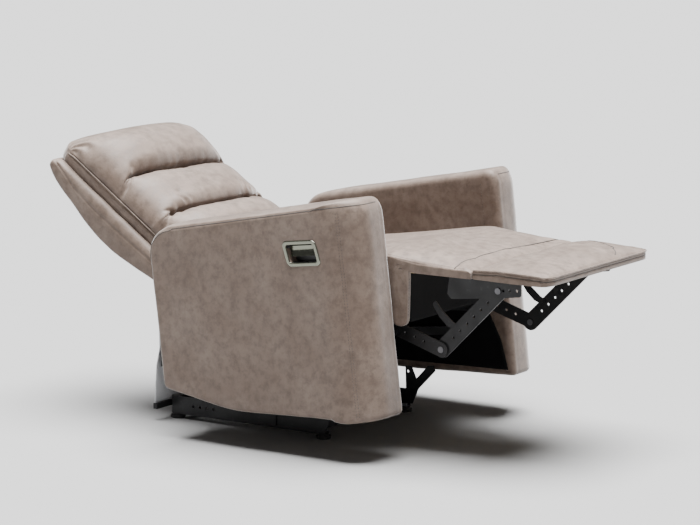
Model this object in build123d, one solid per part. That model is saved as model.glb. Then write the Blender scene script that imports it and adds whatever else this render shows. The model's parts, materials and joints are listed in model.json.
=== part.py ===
"""Recliner armchair, modelled fully reclined with its footrest out.

Units are millimetres. +Z is up, the sitter faces -Y, and +X is the sitter's left. The origin is on
the floor, in the middle of the four feet. Side views are written as (forward, up) pairs, where
forward is -Y. Arms and seat box are drawn level and then leaned back about the tilt pivot.
"""
import os
from math import cos, radians, sin

from build123d import *

# Overall sizes
SEAT_WIDTH = 547.0        # clear width between the arms
ARM_THICKNESS = 150.0
ARM_DEPTH = 636.0         # front face to rear face of an arm, drawn level
ARM_FRONT_HEIGHT = 592.0  # top of an arm above the floor at its front, drawn level
ARM_REAR_HEIGHT = 552.0
BACK_HEIGHT = 545.0       # head end of the back shell, along the back from its lower edge
FOOTREST_LENGTH = 337.0   # footrest pad, from its hinge line forward
BASE_LENGTH = 490.0
BASE_GAUGE = 415.0        # foot centre to foot centre, side to side
FOOT_SPACING = 469.0      # foot centre to foot centre, front to rear

# Angles
BODY_LEAN = 7.2           # how far the arms lean back when the chair is fully reclined
BACK_SLOPE = 35.0         # backrest above the horizontal when fully reclined

# Pivots in the reclined pose, as (forward, up)
TILT_PIVOT = (0.0, 150.0)
BACK_PIVOT = (-110.0, 330.0)
FOOT_HINGE = (600.0, 484.0)
LINK_PIVOT = (450.0, 330.0)
LINK_ELBOW = (610.0, 280.0)
LINK_TOP = (775.0, 445.0)

# Sheet, board and wire sizes
BOARD = 20.0
PLY = 12.0
PLATE = 4.0
STRAP = 4.0
SKIN = 2.5                # lining cloth
COVER = 16.0              # padding and cover of an arm
SHELL = 10.0              # padding and cover of the back shell
ROLL_INSET = 24.0         # side of the shell to the side of the back cushion
WRAP_WIDTH = 14.0         # cover wrapped round each end of the seat box's front
TUBE_RADIUS = 9.0
TUBE_WALL = 1.5
BOLT_RADIUS = 4.0
BOLT_HEAD_RADIUS = 8.0
BOLT_HEAD_HEIGHT = 4.0
FOOT_RADIUS = 20.0
FOOT_HEIGHT = 13.0
LINK_HOLE_RADIUS = 3.6    # rows of spare holes in the footrest links
LINK_HALF_WIDTH = 19.0
LONG_LINK_HALF_WIDTH = 22.0
FOOT_INSET = 10.0         # rail's outer face to the middle of a foot
RAIL_HEIGHT = 48.0
RAIL_FLANGE = 22.0
RAIL_WALL = 3.0
WIRE = 3.6                # seat spring wire
CABLE_RADIUS = 2.5

# Clearances
SIDE_GAP = 5.0            # seat, backrest and footrest to each arm
PIVOT_GAP = 0.5           # hole in a link, round the tube or pin it turns on
PLANE_GAP = 2.0           # between neighbouring link planes
JOINT_GAP = 3.0           # between cushions that move apart

# Places worked out from the sizes above, as distances from the chair's middle plane
ARM_INNER = SEAT_WIDTH / 2
ARM_OUTER = ARM_INNER + ARM_THICKNESS
SEAT_HALF = ARM_INNER - SIDE_GAP
PLATE_OUTER = SEAT_HALF - 32.0
PLATE_INNER = PLATE_OUTER - PLATE
LINK_OUTER = PLATE_INNER - PLANE_GAP
LINK_INNER = LINK_OUTER - STRAP
STRAP_OUTER = LINK_INNER - PLANE_GAP
STRAP_INNER = STRAP_OUTER - STRAP
CARRIER_OUTER = ARM_INNER - SKIN - 1.0
CARRIER_INNER = CARRIER_OUTER - RAIL_FLANGE
FRONT_FACE = ARM_DEPTH - 110.0     # arm front, forward of the tilt pivot, drawn level
REAR_FACE = FRONT_FACE - ARM_DEPTH
BASE_HALF = BASE_GAUGE / 2


def at(forward, up, x=0.0):
    """A point in space from its side-view place."""
    return Vector(x, -forward, up)


def slab(outline, x_low, x_high, radii=0.0):
    """A solid with this side-view outline, between two X positions."""
    points = [at(forward, up, x_low) for forward, up in outline]
    wire = FilletPolyline(*points, radius=radii, close=True) if radii else Polyline(*points, close=True)
    return extrude(make_face(wire), amount=x_high - x_low, dir=(1, 0, 0))


def box(forwards, ups, xs):
    """A box from its limits along each direction."""
    size = (xs[1] - xs[0], forwards[1] - forwards[0], ups[1] - ups[0])
    centre = ((xs[0] + xs[1]) / 2, -(forwards[0] + forwards[1]) / 2, (ups[0] + ups[1]) / 2)
    return Pos(*centre) * Box(*size)


def rod(place, radius, x_low, x_high):
    """A round bar along X."""
    middle = Location(at(place[0], place[1], (x_low + x_high) / 2), (0, 90, 0))
    return middle * Cylinder(radius, x_high - x_low)


def tube(place, radius, wall, x_low, x_high):
    """A round tube along X."""
    return rod(place, radius, x_low, x_high) - rod(place, radius - wall, x_low - 1, x_high + 1)


def link(start, end, half_width, x_low, x_high, holes=(), hole_radius=BOLT_RADIUS + PIVOT_GAP):
    """A flat round-ended strap between two side-view points."""
    along = at(*end) - at(*start)
    across = Vector(0, -along.Z, along.Y).normalized() * half_width
    corners = [at(*start) + across, at(*end) + across, at(*end) - across, at(*start) - across]
    outline = [(-corner.Y, corner.Z) for corner in corners]
    body = slab(outline, x_low, x_high)
    body += rod(start, half_width, x_low, x_high)
    body += rod(end, half_width, x_low, x_high)
    for hole in holes:
        body -= rod(hole, hole_radius, x_low - 1, x_high + 1)
    return body


def between(start, end, share):
    """The side-view point part of the way from one point to another."""
    return tuple(a + (b - a) * share for a, b in zip(start, end))


def lean(shape):
    """Lean a piece that is drawn level back about the tilt pivot."""
    axis = Axis((0, 0, TILT_PIVOT[1]), (1, 0, 0))
    return shape.rotate(axis, -BODY_LEAN)


def leaned(point):
    """Where a level side-view point goes when the body leans back."""
    forward, up = point[0], point[1] - TILT_PIVOT[1]
    turn = radians(BODY_LEAN)
    return (forward * cos(turn) - up * sin(turn), TILT_PIVOT[1] + up * cos(turn) + forward * sin(turn))


def on_back(along, out):
    """A side-view point from its distance up the backrest and out of it, towards the sitter."""
    turn = radians(BACK_SLOPE)
    forward = BACK_PIVOT[0] - along * cos(turn) + out * sin(turn)
    return (forward, BACK_PIVOT[1] + along * sin(turn) + out * cos(turn))


def pair(name, maker):
    """A right-hand piece, and its mirror image for the left-hand side."""
    right = maker()
    return {f"{name}_right": right, f"{name}_left": mirror(right, about=Plane.YZ)}


def both(right):
    """A right-hand piece and its mirror image, as one group of two solids."""
    return Compound(children=[right, mirror(right, about=Plane.YZ)])


# ---------------------------------------------------------------- floor base
BASE_FRONT = BASE_LENGTH / 2
RAIL_TOP = FOOT_HEIGHT + RAIL_HEIGHT


def base_rail():
    """An angle rail on edge, with a row of adjusting holes near its rear."""
    web = box((-BASE_FRONT, BASE_FRONT), (FOOT_HEIGHT, RAIL_TOP), (-BASE_HALF - RAIL_WALL, -BASE_HALF))
    flange = box((-BASE_FRONT, BASE_FRONT), (FOOT_HEIGHT, FOOT_HEIGHT + RAIL_WALL),
                 (-BASE_HALF - RAIL_WALL, -BASE_HALF + RAIL_FLANGE))
    rail = web + flange
    for index in range(6):
        place = (-BASE_FRONT + 70 + 22 * index, FOOT_HEIGHT + RAIL_HEIGHT / 2)
        rail -= rod(place, 4.0, -BASE_HALF - 10, -BASE_HALF + 10)
    for end in (-1, 1):
        rail -= Pos(-BASE_HALF + FOOT_INSET, -end * FOOT_SPACING / 2, FOOT_HEIGHT) * Cylinder(4.5, 20)
    return rail


def base_tubes():
    """Two square cross tubes that stand on the rail flanges, front and rear."""
    tubes = []
    for end in (-1, 1):
        middle = end * (FOOT_SPACING / 2 - 32)
        low = FOOT_HEIGHT + RAIL_WALL
        outer = box((middle - 12.5, middle + 12.5), (low, low + 25), (-BASE_HALF, BASE_HALF))
        inner = box((middle - 10.5, middle + 10.5), (low + 2, low + 23), (-BASE_HALF - 1, BASE_HALF + 1))
        tubes.append(outer - inner)
    return Compound(children=tubes)


def feet():
    """Four stepped floor pads under the rail ends."""
    pads = []
    for side in (-1, 1):
        for end in (-1, 1):
            place = Pos(side * (BASE_HALF - FOOT_INSET), end * FOOT_SPACING / 2, 0)
            pad = place * Pos(0, 0, 4) * Cylinder(FOOT_RADIUS, 8)
            step = FOOT_HEIGHT - 8
            pad += place * Pos(0, 0, 8 + step / 2) * Cylinder(FOOT_RADIUS - 6, step)
            pads.append(chamfer(pad.edges().group_by(Axis.Z)[0], 1.5))
    return Compound(children=pads)


def foot_bolts():
    """Four bolts that hold the feet to the rail flanges."""
    bolts = []
    for side in (-1, 1):
        for end in (-1, 1):
            place = Pos(side * (BASE_HALF - FOOT_INSET), end * FOOT_SPACING / 2, FOOT_HEIGHT + RAIL_WALL)
            bolts.append(place * Pos(0, 0, 3) * extrude(RegularPolygon(7.5, 6), amount=3, both=True))
    return Compound(children=bolts)


TILT_BRACKET_OUTER = PLATE_OUTER - 6.0


def tilt_bracket():
    """A stamped triangle that carries the tilt pivot above a base rail."""
    inner = BASE_HALF + RAIL_WALL
    outline = [(-95, RAIL_TOP - 40), (95, RAIL_TOP - 40), (95, RAIL_TOP), (22, TILT_PIVOT[1] + 12),
               (-22, TILT_PIVOT[1] + 12), (-95, RAIL_TOP)]
    body = slab(outline, -inner - PLATE, -inner)
    boss = rod(TILT_PIVOT, 14, -TILT_BRACKET_OUTER, -inner)
    window = slab([(-45, RAIL_TOP + 8), (45, RAIL_TOP + 8), (0, TILT_PIVOT[1] - 22)], -inner - 9, -inner + 1)
    pin_hole = rod(TILT_PIVOT, BOLT_RADIUS + 1 + PIVOT_GAP, -TILT_BRACKET_OUTER - 1, -inner + 5)
    return body + boss - window - pin_hole


def stop_bracket():
    """The bent V strap at the front of the base, which the body settles on when upright."""
    inner = BASE_HALF + RAIL_WALL
    outline = [(212, 20), (250, 20), (268, 62), (322, 118), (316, 132), (300, 130), (262, 90),
               (246, 124), (228, 122), (230, 62)]
    body = slab(outline, -inner - PLATE, -inner)
    return body - rod((236, 108), BOLT_RADIUS, -inner - 9, -inner + 1)


# ---------------------------------------------------------------- arms
def arm_outline():
    """Side view of an arm, drawn level: high front, rounded rear corner, rising lower edge."""
    return [(REAR_FACE, 150), (REAR_FACE, ARM_REAR_HEIGHT), (FRONT_FACE, ARM_FRONT_HEIGHT),
            (FRONT_FACE, 50), (FRONT_FACE - 330, 76), (FRONT_FACE - 480, 98)]


LATCH_MIDDLE = (365.5, 482.3)   # middle of the latch opening, drawn level
LATCH_LENGTH = 90.0
LATCH_WIDTH = 48.0
LATCH_SKEW = 6.5          # how far the upper and lower edges are shifted apart, each way
LATCH_DEPTH = 30.0
LATCH_RIM = 9.0
LEVER_PIN_RADIUS = 1.5
LEVER_PIN_DEPTH = 10.0     # behind the arm's outer face
ARM_CORNER = 78.0
TOP_EDGE = 14.0


def latch_outline(margin):
    """The latch's skewed four-sided outline, drawn level, grown by a margin."""
    forward, up = LATCH_MIDDLE
    half, rise = LATCH_LENGTH / 2 + margin, LATCH_WIDTH / 2 + margin
    shift = LATCH_SKEW * (1 + margin / half)
    return [(forward - half - shift, up + rise), (forward + half - shift, up + rise),
            (forward + half + shift, up - rise), (forward - half + shift, up - rise)]


def arm_block(inset):
    """A solid arm, drawn level, with every face moved in by the same inset."""
    face = make_face(Polyline(*[at(f, z) for f, z in arm_outline()], close=True))
    if inset:
        face = offset(face, amount=-inset, kind=Kind.INTERSECTION)
    low, high = -ARM_OUTER + inset, -ARM_INNER - inset
    block = extrude(Pos(low, 0, 0) * face, amount=high - low, dir=(1, 0, 0))
    edges = block.edges()
    front = edges.filter_by(Axis.Z).group_by(Axis.Y)[0].sort_by(Axis.X)[0]
    block = fillet(front, ARM_CORNER - inset)
    rear_top = block.edges().filter_by(Axis.X).group_by(Axis.Y)[-1].sort_by(Axis.Z)[-1]
    return fillet(rear_top, 58 - inset)


def arm_cover():
    """Padding and cover of an arm, hollow for its frame."""
    cover = arm_block(0)
    cover = fillet(cover.edges().group_by(Axis.Z)[-1], TOP_EDGE / 2)
    return cover - arm_block(COVER)


def arm_cover_right():
    """The right arm has an opening for the latch and a hole for its cable."""
    cut = slab(latch_outline(0.5), -ARM_OUTER - 1, -ARM_OUTER + COVER + 1, 12)
    cable = rod(CABLE_EXIT, CABLE_RADIUS + 2, -ARM_INNER - COVER - 1, -ARM_INNER + 1)
    return lean(arm_cover() - cut - cable)


def arm_frame():
    """Timber frame inside an arm: two posts, a top rail and a bottom rail."""
    room = arm_block(COVER + 1)
    outer, inner = -ARM_INNER - COVER - 1 - BOARD * 2, -ARM_INNER - COVER - 1
    front, rear = FRONT_FACE - COVER - 1, REAR_FACE + COVER + 1
    posts = box((front - BOARD * 2, front), (0, 700), (outer, inner))
    posts += box((rear, rear + BOARD * 2), (0, 700), (outer, inner))
    hollow = box((rear + BOARD * 2, front - BOARD * 2), (160, ARM_REAR_HEIGHT - 62), (outer, inner))
    middle = box((rear + BOARD * 2, front - BOARD * 2), (0, 700), (outer, inner))
    return lean((posts + middle - hollow) & room)


def arm_lining():
    """Thin cloth on the inner face of an arm, below the seat."""
    outline = [(REAR_FACE + 30, 158), (REAR_FACE + 180, 112), (FRONT_FACE - 18, 66),
               (FRONT_FACE - 30, 150), (FRONT_FACE - 62, 236), (FRONT_FACE - 110, 262), (REAR_FACE + 30, 262)]
    sheet = slab(outline, -ARM_INNER, -ARM_INNER + SKIN)
    return lean(sheet - rod(CABLE_EXIT, CABLE_RADIUS + 2, -ARM_INNER - 1, -ARM_INNER + SKIN + 1))


# ---------------------------------------------------------------- body carrier
CARRIER_LOW = 168.0


def carrier_rail():
    """Steel angle along the inside of an arm, which turns on the base at the tilt pivot."""
    top = CARRIER_LOW + 26
    wall = box((REAR_FACE + 20, 400), (CARRIER_LOW, top), (-CARRIER_OUTER, -CARRIER_OUTER + RAIL_WALL))
    shelf = box((REAR_FACE + 20, 400), (top - RAIL_WALL, top), (-CARRIER_OUTER, -CARRIER_INNER))
    lug = slab([(-30, top), (30, top), (16, TILT_PIVOT[1] - 16), (-16, TILT_PIVOT[1] - 16)],
               -CARRIER_INNER - PLATE, -CARRIER_INNER, 5)
    hole = rod(TILT_PIVOT, BOLT_RADIUS + 1, -CARRIER_OUTER - 1, -CARRIER_INNER + 2)
    return lean(wall + shelf + lug - hole)


def carrier_tubes():
    """Two round tubes that tie the carrier rails together."""
    height = CARRIER_LOW + 12
    reach = CARRIER_OUTER - RAIL_WALL
    places = [(forward, height) for forward in (-50, 150)]
    return Compound(children=[lean(tube(place, TUBE_RADIUS, TUBE_WALL, -reach, reach)) for place in places])


def tilt_pins():
    """Two shouldered pins through the carrier lugs and the base brackets."""
    face = CARRIER_INNER + PLATE
    inner = BASE_HALF + RAIL_WALL - 3
    pins = []
    for side in (-1, 1):
        shaft = rod(TILT_PIVOT, BOLT_RADIUS + 1, *sorted((side * inner, side * face)))
        head = rod(TILT_PIVOT, BOLT_HEAD_RADIUS, *sorted((side * face, side * (face + BOLT_HEAD_HEIGHT))))
        pins.append(shaft + head)
    return Compound(children=pins)


def slide_track():
    """Fixed half of a seat slide, on the inside of an arm."""
    low = TRACK_HEIGHT
    outer = -ARM_INNER + SKIN
    return lean(box((40, 420), (low, low + 16), (outer, outer + 9)))


def slide_runner():
    """Moving half of a seat slide, on the outside of a mechanism plate."""
    low = TRACK_HEIGHT + 1
    return lean(box((100, 380), (low, low + 14), (-ARM_INNER + 12.5, -PLATE_OUTER)))


def skirt():
    """The cloth panel that hangs behind the seat, with its board at the floor end."""
    outline = [(-246, 322), (-246, 200), (-258, 150), (-262, 60), (-262, 48), (-256, 48), (-256, 60),
               (-252, 150), (-240, 200), (-240, 322)]
    return slab(outline, -SEAT_HALF, SEAT_HALF)


def skirt_rail():
    """Timber rail along the lower hem of the rear panel."""
    return box((-264, -252), (32, 47.5), (-SEAT_HALF, SEAT_HALF))


def skirt_hanger():
    """Bent strap from a carrier rail back to the rear panel."""
    high = leaned((REAR_FACE + 24, CARRIER_LOW + 12))[1]
    x_range = (-CARRIER_OUTER + RAIL_WALL, -CARRIER_OUTER + RAIL_WALL + PLATE)
    arm = box((-239.5, -66), (high - 7, high + 7), x_range)
    pad = box((-239.5, -236), (high - 20, high + 60), (x_range[0], x_range[0] + 40))
    return arm + pad


# ---------------------------------------------------------------- latch
CABLE_EXIT = (150.0, 215.0)
TRACK_HEIGHT = 238.0
LEVER_RISE = 15.0         # middle of the latch to the lever's hinge line
LEVER_HINGE = (LATCH_MIDDLE[0] - LATCH_SKEW * LEVER_RISE / (LATCH_WIDTH / 2), LATCH_MIDDLE[1] + LEVER_RISE)


def latch_bezel():
    """Chromed rim round the latch opening, proud of the arm."""
    rim = slab(latch_outline(LATCH_RIM), -ARM_OUTER - 3, -ARM_OUTER, 15)
    rim -= slab(latch_outline(-2), -ARM_OUTER - 4, -ARM_OUTER + 1, 11)
    return lean(rim)


def latch_cup():
    """Finger recess behind the rim."""
    cup = slab(latch_outline(0), -ARM_OUTER, -ARM_OUTER + LATCH_DEPTH, 12)
    cup -= slab(latch_outline(-2), -ARM_OUTER - 1, -ARM_OUTER + LATCH_DEPTH - 2, 11)
    stub = rod((LATCH_MIDDLE[0], LATCH_MIDDLE[1] - 12), 5, -ARM_OUTER + LATCH_DEPTH - 2, -ARM_OUTER + LATCH_DEPTH + 8)
    return lean(cup + stub)


def lever_bar(radius, length):
    """A round bar along the lever's hinge line, drawn level."""
    middle = at(*LEVER_HINGE, -ARM_OUTER + LEVER_PIN_DEPTH)
    return Location(middle, (90, 0, 0)) * Cylinder(radius, length)


def latch_lever():
    """Pull lever: a plate that hangs from its barrel across the upper half of the recess."""
    forward, up = LEVER_HINGE
    half = LATCH_LENGTH / 2 - 7
    outline = [(forward - half - 1, up + 4), (forward + half - 1, up + 4),
               (forward + half + 6, up - 22), (forward - half + 6, up - 22)]
    plate = slab(outline, -ARM_OUTER + 3.5, -ARM_OUTER + 7.5, 6)
    barrel = lever_bar(3.2, 2 * half - 10)
    return lean(plate + barrel - lever_bar(LEVER_PIN_RADIUS + 0.06, LATCH_LENGTH))


def latch_pin():
    """Hinge pin of the lever, held in the recess's end walls."""
    return lean(lever_bar(LEVER_PIN_RADIUS, LATCH_LENGTH - 2.4))


def release_cable():
    """Sheathed cable from the latch, down inside the arm and out to the carrier rail."""
    start = leaned((LATCH_MIDDLE[0], LATCH_MIDDLE[1] - 12))
    end = leaned(CABLE_EXIT)
    x_in = -ARM_OUTER + LATCH_DEPTH + 8
    route = [at(start[0], start[1], x_in), at(start[0], start[1], x_in + 22),
             at(start[0] - 30, start[1] - 60, x_in + 26), at(end[0] + 40, end[1] + 90, x_in + 34),
             at(end[0], end[1], x_in + 60), at(end[0], end[1], -ARM_INNER + SKIN + 9)]
    path = FilletPolyline(*route, radius=[14, 30, 40, 22])
    section = Plane(origin=route[0], z_dir=(1, 0, 0)) * Circle(CABLE_RADIUS)
    return sweep(section, path=path)


# ---------------------------------------------------------------- seat box
SEAT_LOW = 292.0          # underside of the seat rails, drawn level
SEAT_RAIL = 62.0
SEAT_REAR = 70.0
SEAT_FRONT = 545.0
SEAT_TOP = 452.0
DECK = SEAT_LOW + SEAT_RAIL
RAIL_FRONT = 530.0        # front face of the front rail, reclined
SEAT_BOLT_PLACES = ((180, 328), (350, 345))
PAD_LOW = 486.0           # underside of the knee pad and the footrest pad, reclined


def seat_side_rail():
    """Timber rail along one side of the seat box."""
    inner = PLATE_OUTER + 8
    return lean(box((SEAT_REAR, SEAT_FRONT - 12), (SEAT_LOW, DECK), (-inner - BOARD, -inner)))


def seat_rear_rail():
    """Timber rail across the back of the seat box."""
    reach = PLATE_OUTER + 8
    return lean(box((SEAT_REAR, SEAT_REAR + BOARD), (SEAT_LOW, DECK), (-reach, reach)))


def seat_front_rail():
    """Tall timber rail across the front of the seat box."""
    reach = PLATE_OUTER + 8
    return box((RAIL_FRONT - BOARD, RAIL_FRONT), (352, PAD_LOW - 2), (-reach, reach))


def seat_springs():
    """Zigzag springs stretched from the rear rail to the front rail."""
    wires = []
    rear, front = SEAT_REAR + 6, SEAT_FRONT - 24
    turns = 14
    for lane in (-2, -1, 0, 1, 2):
        middle = lane * PLATE_INNER / 2.6
        points = []
        for index in range(turns + 1):
            forward = rear + (front - rear) * index / turns
            swing = 20 if index % 2 else -20
            points.append((middle + (0 if index in (0, turns) else swing), -forward))
        wire = trace(Polyline(*points), line_width=WIRE)
        wires.append(lean(Pos(0, 0, DECK + 0.2) * extrude(wire, amount=WIRE)))
    return Compound(children=wires)


def seat_cushion():
    """Seat foam and cover."""
    low = DECK + WIRE + 1
    outline = [(SEAT_REAR - 20, low), (SEAT_REAR - 20, SEAT_TOP - 14), (SEAT_REAR + 30, SEAT_TOP - 4),
               (SEAT_REAR + 380, SEAT_TOP + 6), (SEAT_FRONT - 2, SEAT_TOP + 6), (SEAT_FRONT - 14, low)]
    return lean(slab(outline, -SEAT_HALF, SEAT_HALF, 12))


def knee_board():
    """Plywood shelf that carries the knee pad beyond the front rail."""
    return box((RAIL_FRONT, FOOT_HINGE[0] - JOINT_GAP), (PAD_LOW - 2 - PLY, PAD_LOW - 2),
               (-SEAT_HALF + 14, SEAT_HALF - 14))


def knee_pad():
    """Front roll of the seat, over the front rail and its shelf."""
    rear = leaned((SEAT_FRONT, SEAT_TOP))[0] + JOINT_GAP / 2
    front = FOOT_HINGE[0] - JOINT_GAP / 2
    outline = [(rear, PAD_LOW), (rear, PAD_LOW + 37), (front, PAD_LOW + 31), (front, PAD_LOW)]
    return slab(outline, -SEAT_HALF, SEAT_HALF)


def front_panel():
    """Black cloth stretched over the front rail."""
    return box((RAIL_FRONT + 0.2, RAIL_FRONT + 0.2 + SKIN), (346, PAD_LOW - 2 - PLY),
               (-SEAT_HALF + WRAP_WIDTH + 1, SEAT_HALF - WRAP_WIDTH - 1))


def front_wrap():
    """Cover wrapped round one end of the seat box's front."""
    outline = [(478, 352), (500, 334), (522, 340), (533, 362), (533, PAD_LOW - 16), (506, PAD_LOW - 16),
               (506, 416), (478, 412)]
    return slab(outline, -SEAT_HALF, -SEAT_HALF + 3) + box(
        (RAIL_FRONT + 0.2, RAIL_FRONT + 5), (356, PAD_LOW - 16), (-SEAT_HALF + 3, -SEAT_HALF + WRAP_WIDTH))


def seat_lining():
    """Dust cloth under the seat springs."""
    reach = STRAP_INNER - 6
    return lean(box((SEAT_REAR, SEAT_FRONT - 60), (SEAT_LOW - SKIN, SEAT_LOW), (-reach, reach)))


# ---------------------------------------------------------------- mechanism
def side_plate():
    """Long stamped plate that carries the back pivot, the seat and the footrest links."""
    back = BACK_PIVOT
    outline = [(back[0] - 20, back[1] - 24), (back[0] - 20, back[1] + 16), (back[0] + 24, back[1] + 16),
               (40, 294), (112, 294), (136, 338), (430, 366), (482, 362), (482, 305), (430, 290), (60, 262)]
    body = slab(outline, -PLATE_OUTER, -PLATE_INNER, 7)
    body -= rod(back, BOLT_RADIUS + 1, -PLATE_OUTER - 1, -PLATE_INNER + 1)
    body -= rod(LINK_PIVOT, TUBE_RADIUS, -PLATE_OUTER - 1, -PLATE_INNER + 1)
    for index in range(5):
        body -= rod((120 + 62 * index, 294 + 7 * index), 9, -PLATE_OUTER - 1, -PLATE_INNER + 1)
    for place in SEAT_BOLT_PLACES:
        body -= rod(place, BOLT_RADIUS, -PLATE_OUTER - 1, -PLATE_INNER + 1)
    return body


def torque_tube():
    """Tube across both side plates, which the footrest links turn on."""
    return tube(LINK_PIVOT, TUBE_RADIUS, TUBE_WALL, -PLATE_OUTER, PLATE_OUTER)


def rear_tube():
    """Tube that ties the side plates together behind the seat."""
    return tube((84, 286), TUBE_RADIUS, TUBE_WALL, -PLATE_INNER, PLATE_INNER)


def seat_bolts():
    """Bolts through the side plates into spacers under the seat rails."""
    bolts = []
    for side in (-1, 1):
        for place in SEAT_BOLT_PLACES:
            spacer = rod(place, 6, *sorted((side * PLATE_OUTER, side * (PLATE_OUTER + 8))))
            head = rod(place, BOLT_HEAD_RADIUS, *sorted((side * (PLATE_INNER - 4), side * PLATE_INNER)))
            shaft = rod(place, BOLT_RADIUS, *sorted((side * PLATE_INNER, side * PLATE_OUTER)))
            bolts.append(spacer + head + shaft)
    return Compound(children=bolts)


def return_spring():
    """Tension spring under the seat, on the inner side of a plate."""
    rear, front = (110, 286), (330, 314)
    middle = -STRAP_OUTER + 2
    along = at(*front) - at(*rear)
    direction = along.normalized()
    centre = (at(*front) + at(*rear)) * 0.5 + Vector(middle, 0, 0)
    coil = Plane(origin=centre, z_dir=direction) * Cylinder(8, along.length - 60)
    hooks = Plane(origin=centre, z_dir=direction) * Cylinder(1.6, along.length)
    anchor = rod(rear, 4, -PLATE_INNER, middle) + rod(front, 4, -PLATE_INNER, middle)
    return coil + hooks + anchor


def support_link():
    """Lower link, from the torque tube out to the elbow."""
    body = link(LINK_PIVOT, LINK_ELBOW, LINK_HALF_WIDTH, -LINK_OUTER, -LINK_INNER)
    body -= rod(LINK_PIVOT, TUBE_RADIUS + PIVOT_GAP, -LINK_OUTER - 1, -LINK_INNER + 1)
    body -= rod(LINK_ELBOW, BOLT_RADIUS, -LINK_OUTER - 1, -LINK_INNER + 1)
    for share in (0.35, 0.52, 0.69):
        body -= rod(between(LINK_PIVOT, LINK_ELBOW, share), LINK_HOLE_RADIUS, -LINK_OUTER - 1, -LINK_INNER + 1)
    return body


def elbow_rivet():
    """Rivet at the elbow, fast in the lower link and free in the long link."""
    head = rod(LINK_ELBOW, BOLT_HEAD_RADIUS, -LINK_OUTER - 1.6, -LINK_OUTER)
    shank = rod(LINK_ELBOW, BOLT_RADIUS, -LINK_OUTER, -STRAP_INNER + 1)
    tail = rod(LINK_ELBOW, BOLT_HEAD_RADIUS, -STRAP_INNER + 1, -STRAP_INNER + 4)
    return head + shank + tail


def long_link():
    """Upper link, from the elbow to the footrest, with holes along it and a curved strap riveted on."""
    body = link(LINK_ELBOW, LINK_TOP, LONG_LINK_HALF_WIDTH, -STRAP_OUTER, -STRAP_INNER, holes=[LINK_ELBOW])
    for index in range(7):
        place = between(LINK_ELBOW, LINK_TOP, 0.2 + 0.12 * index)
        body -= rod(place, LINK_HOLE_RADIUS, -STRAP_OUTER - 1, -STRAP_INNER + 1)
    return body + crescent_strap()


def crescent_strap():
    """Curved strap against the inner face of the long link."""
    outline = [(640, 352), (655, 344), (648, 330), (622, 340), (598, 362), (578, 392), (588, 402), (606, 380)]
    x_low = -STRAP_INNER
    return slab(outline, x_low, x_low + 3, 4)


def foot_bracket():
    """Steel bracket under the footrest board, with its flange screwed up to the board."""
    low = BOARD_LOW
    outline = [(634, low), (840, low), (840, 436), (800, 430), (640, 412), (628, 424)]
    web = slab(outline, -LINK_OUTER, -LINK_INNER, 5)
    flange = box((650, 838), (low - STRAP, low), (-LINK_OUTER, -LINK_INNER + 24))
    for place in ((790, 447), (808, 449), (828, 450)):
        web -= rod(place, LINK_HOLE_RADIUS, -LINK_OUTER - 1, -LINK_INNER + 1)
    return web + flange


BOARD_LOW = PAD_LOW - 1 - PLY


def bracket_rivet():
    """Rivet head at the open pivot, fast on the bracket and clear of the long link."""
    return rod(LINK_TOP, BOLT_HEAD_RADIUS, -LINK_OUTER - 3, -LINK_OUTER)


# ---------------------------------------------------------------- footrest
FOOT_HALF = SEAT_HALF - 8


def footrest_board():
    """Plywood board under the footrest pad."""
    return box((FOOT_HINGE[0] + 14, FOOT_HINGE[0] + FOOTREST_LENGTH - 12), (BOARD_LOW, BOARD_LOW + PLY),
               (-FOOT_HALF + 12, FOOT_HALF - 12))


CREASE = 120.0            # hinge line to the crease between the calf pad and the foot pad


def calf_pad():
    """Thin pad between the knee roll and the foot pad."""
    rear, front = FOOT_HINGE[0] + JOINT_GAP / 2, FOOT_HINGE[0] + CREASE
    outline = [(rear, PAD_LOW), (rear, PAD_LOW + 31), (front, PAD_LOW + 22), (front, PAD_LOW)]
    return slab(outline, -FOOT_HALF - 4, FOOT_HALF + 4)


def foot_pad():
    """Crowned pad at the end of the footrest."""
    rear, front = FOOT_HINGE[0] + CREASE + 0.5, FOOT_HINGE[0] + FOOTREST_LENGTH
    outline = [(rear, PAD_LOW), (rear, PAD_LOW + 20), (rear + 40, PAD_LOW + 34), (rear + 110, PAD_LOW + 36),
               (front - 12, PAD_LOW + 26), (front, PAD_LOW + 12), (front, PAD_LOW - 8), (front - 10, PAD_LOW - 8),
               (front - 10, PAD_LOW)]
    return slab(outline, -FOOT_HALF, FOOT_HALF)


def foot_screws():
    """Screws up through the bracket flanges into the board."""
    screws = []
    for side in (-1, 1):
        for forward in (670, 745, 820):
            place = Pos(side * (LINK_INNER - 14), -forward, BOARD_LOW - STRAP - 1.5)
            screws.append(place * Cylinder(5, 3))
    return Compound(children=screws)


# ---------------------------------------------------------------- backrest
BACK_LOW = 48.0           # lower edge of the shell, along the back from the pivot
BACK_TOP = BACK_LOW + BACK_HEIGHT
ROLL_SEAMS = (60.0, 205.0, 357.0, BACK_TOP + 22)


def back_shell():
    """Outer back: a tray open to the front and at its lower end."""
    outline = [(BACK_LOW, -32), (150, -46), (290, -71), (366, -71), (BACK_TOP - 60, -38),
               (BACK_TOP, -17), (BACK_TOP, 9), (489, -3), (378, -11), (290, -8), (188, 8), (BACK_LOW, 20)]
    hollow = [(BACK_LOW - 5, -32 + SHELL), (150, -46 + SHELL), (290, -71 + SHELL), (366, -71 + SHELL),
              (BACK_TOP - 60, -38 + SHELL), (BACK_TOP - SHELL, -17 + SHELL + 4), (BACK_TOP - SHELL, 60),
              (BACK_LOW - 5, 60)]
    body = slab([on_back(*point) for point in outline], -SEAT_HALF, SEAT_HALF)
    return body - slab([on_back(*point) for point in hollow], -SEAT_HALF + SHELL, SEAT_HALF - SHELL)


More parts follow.
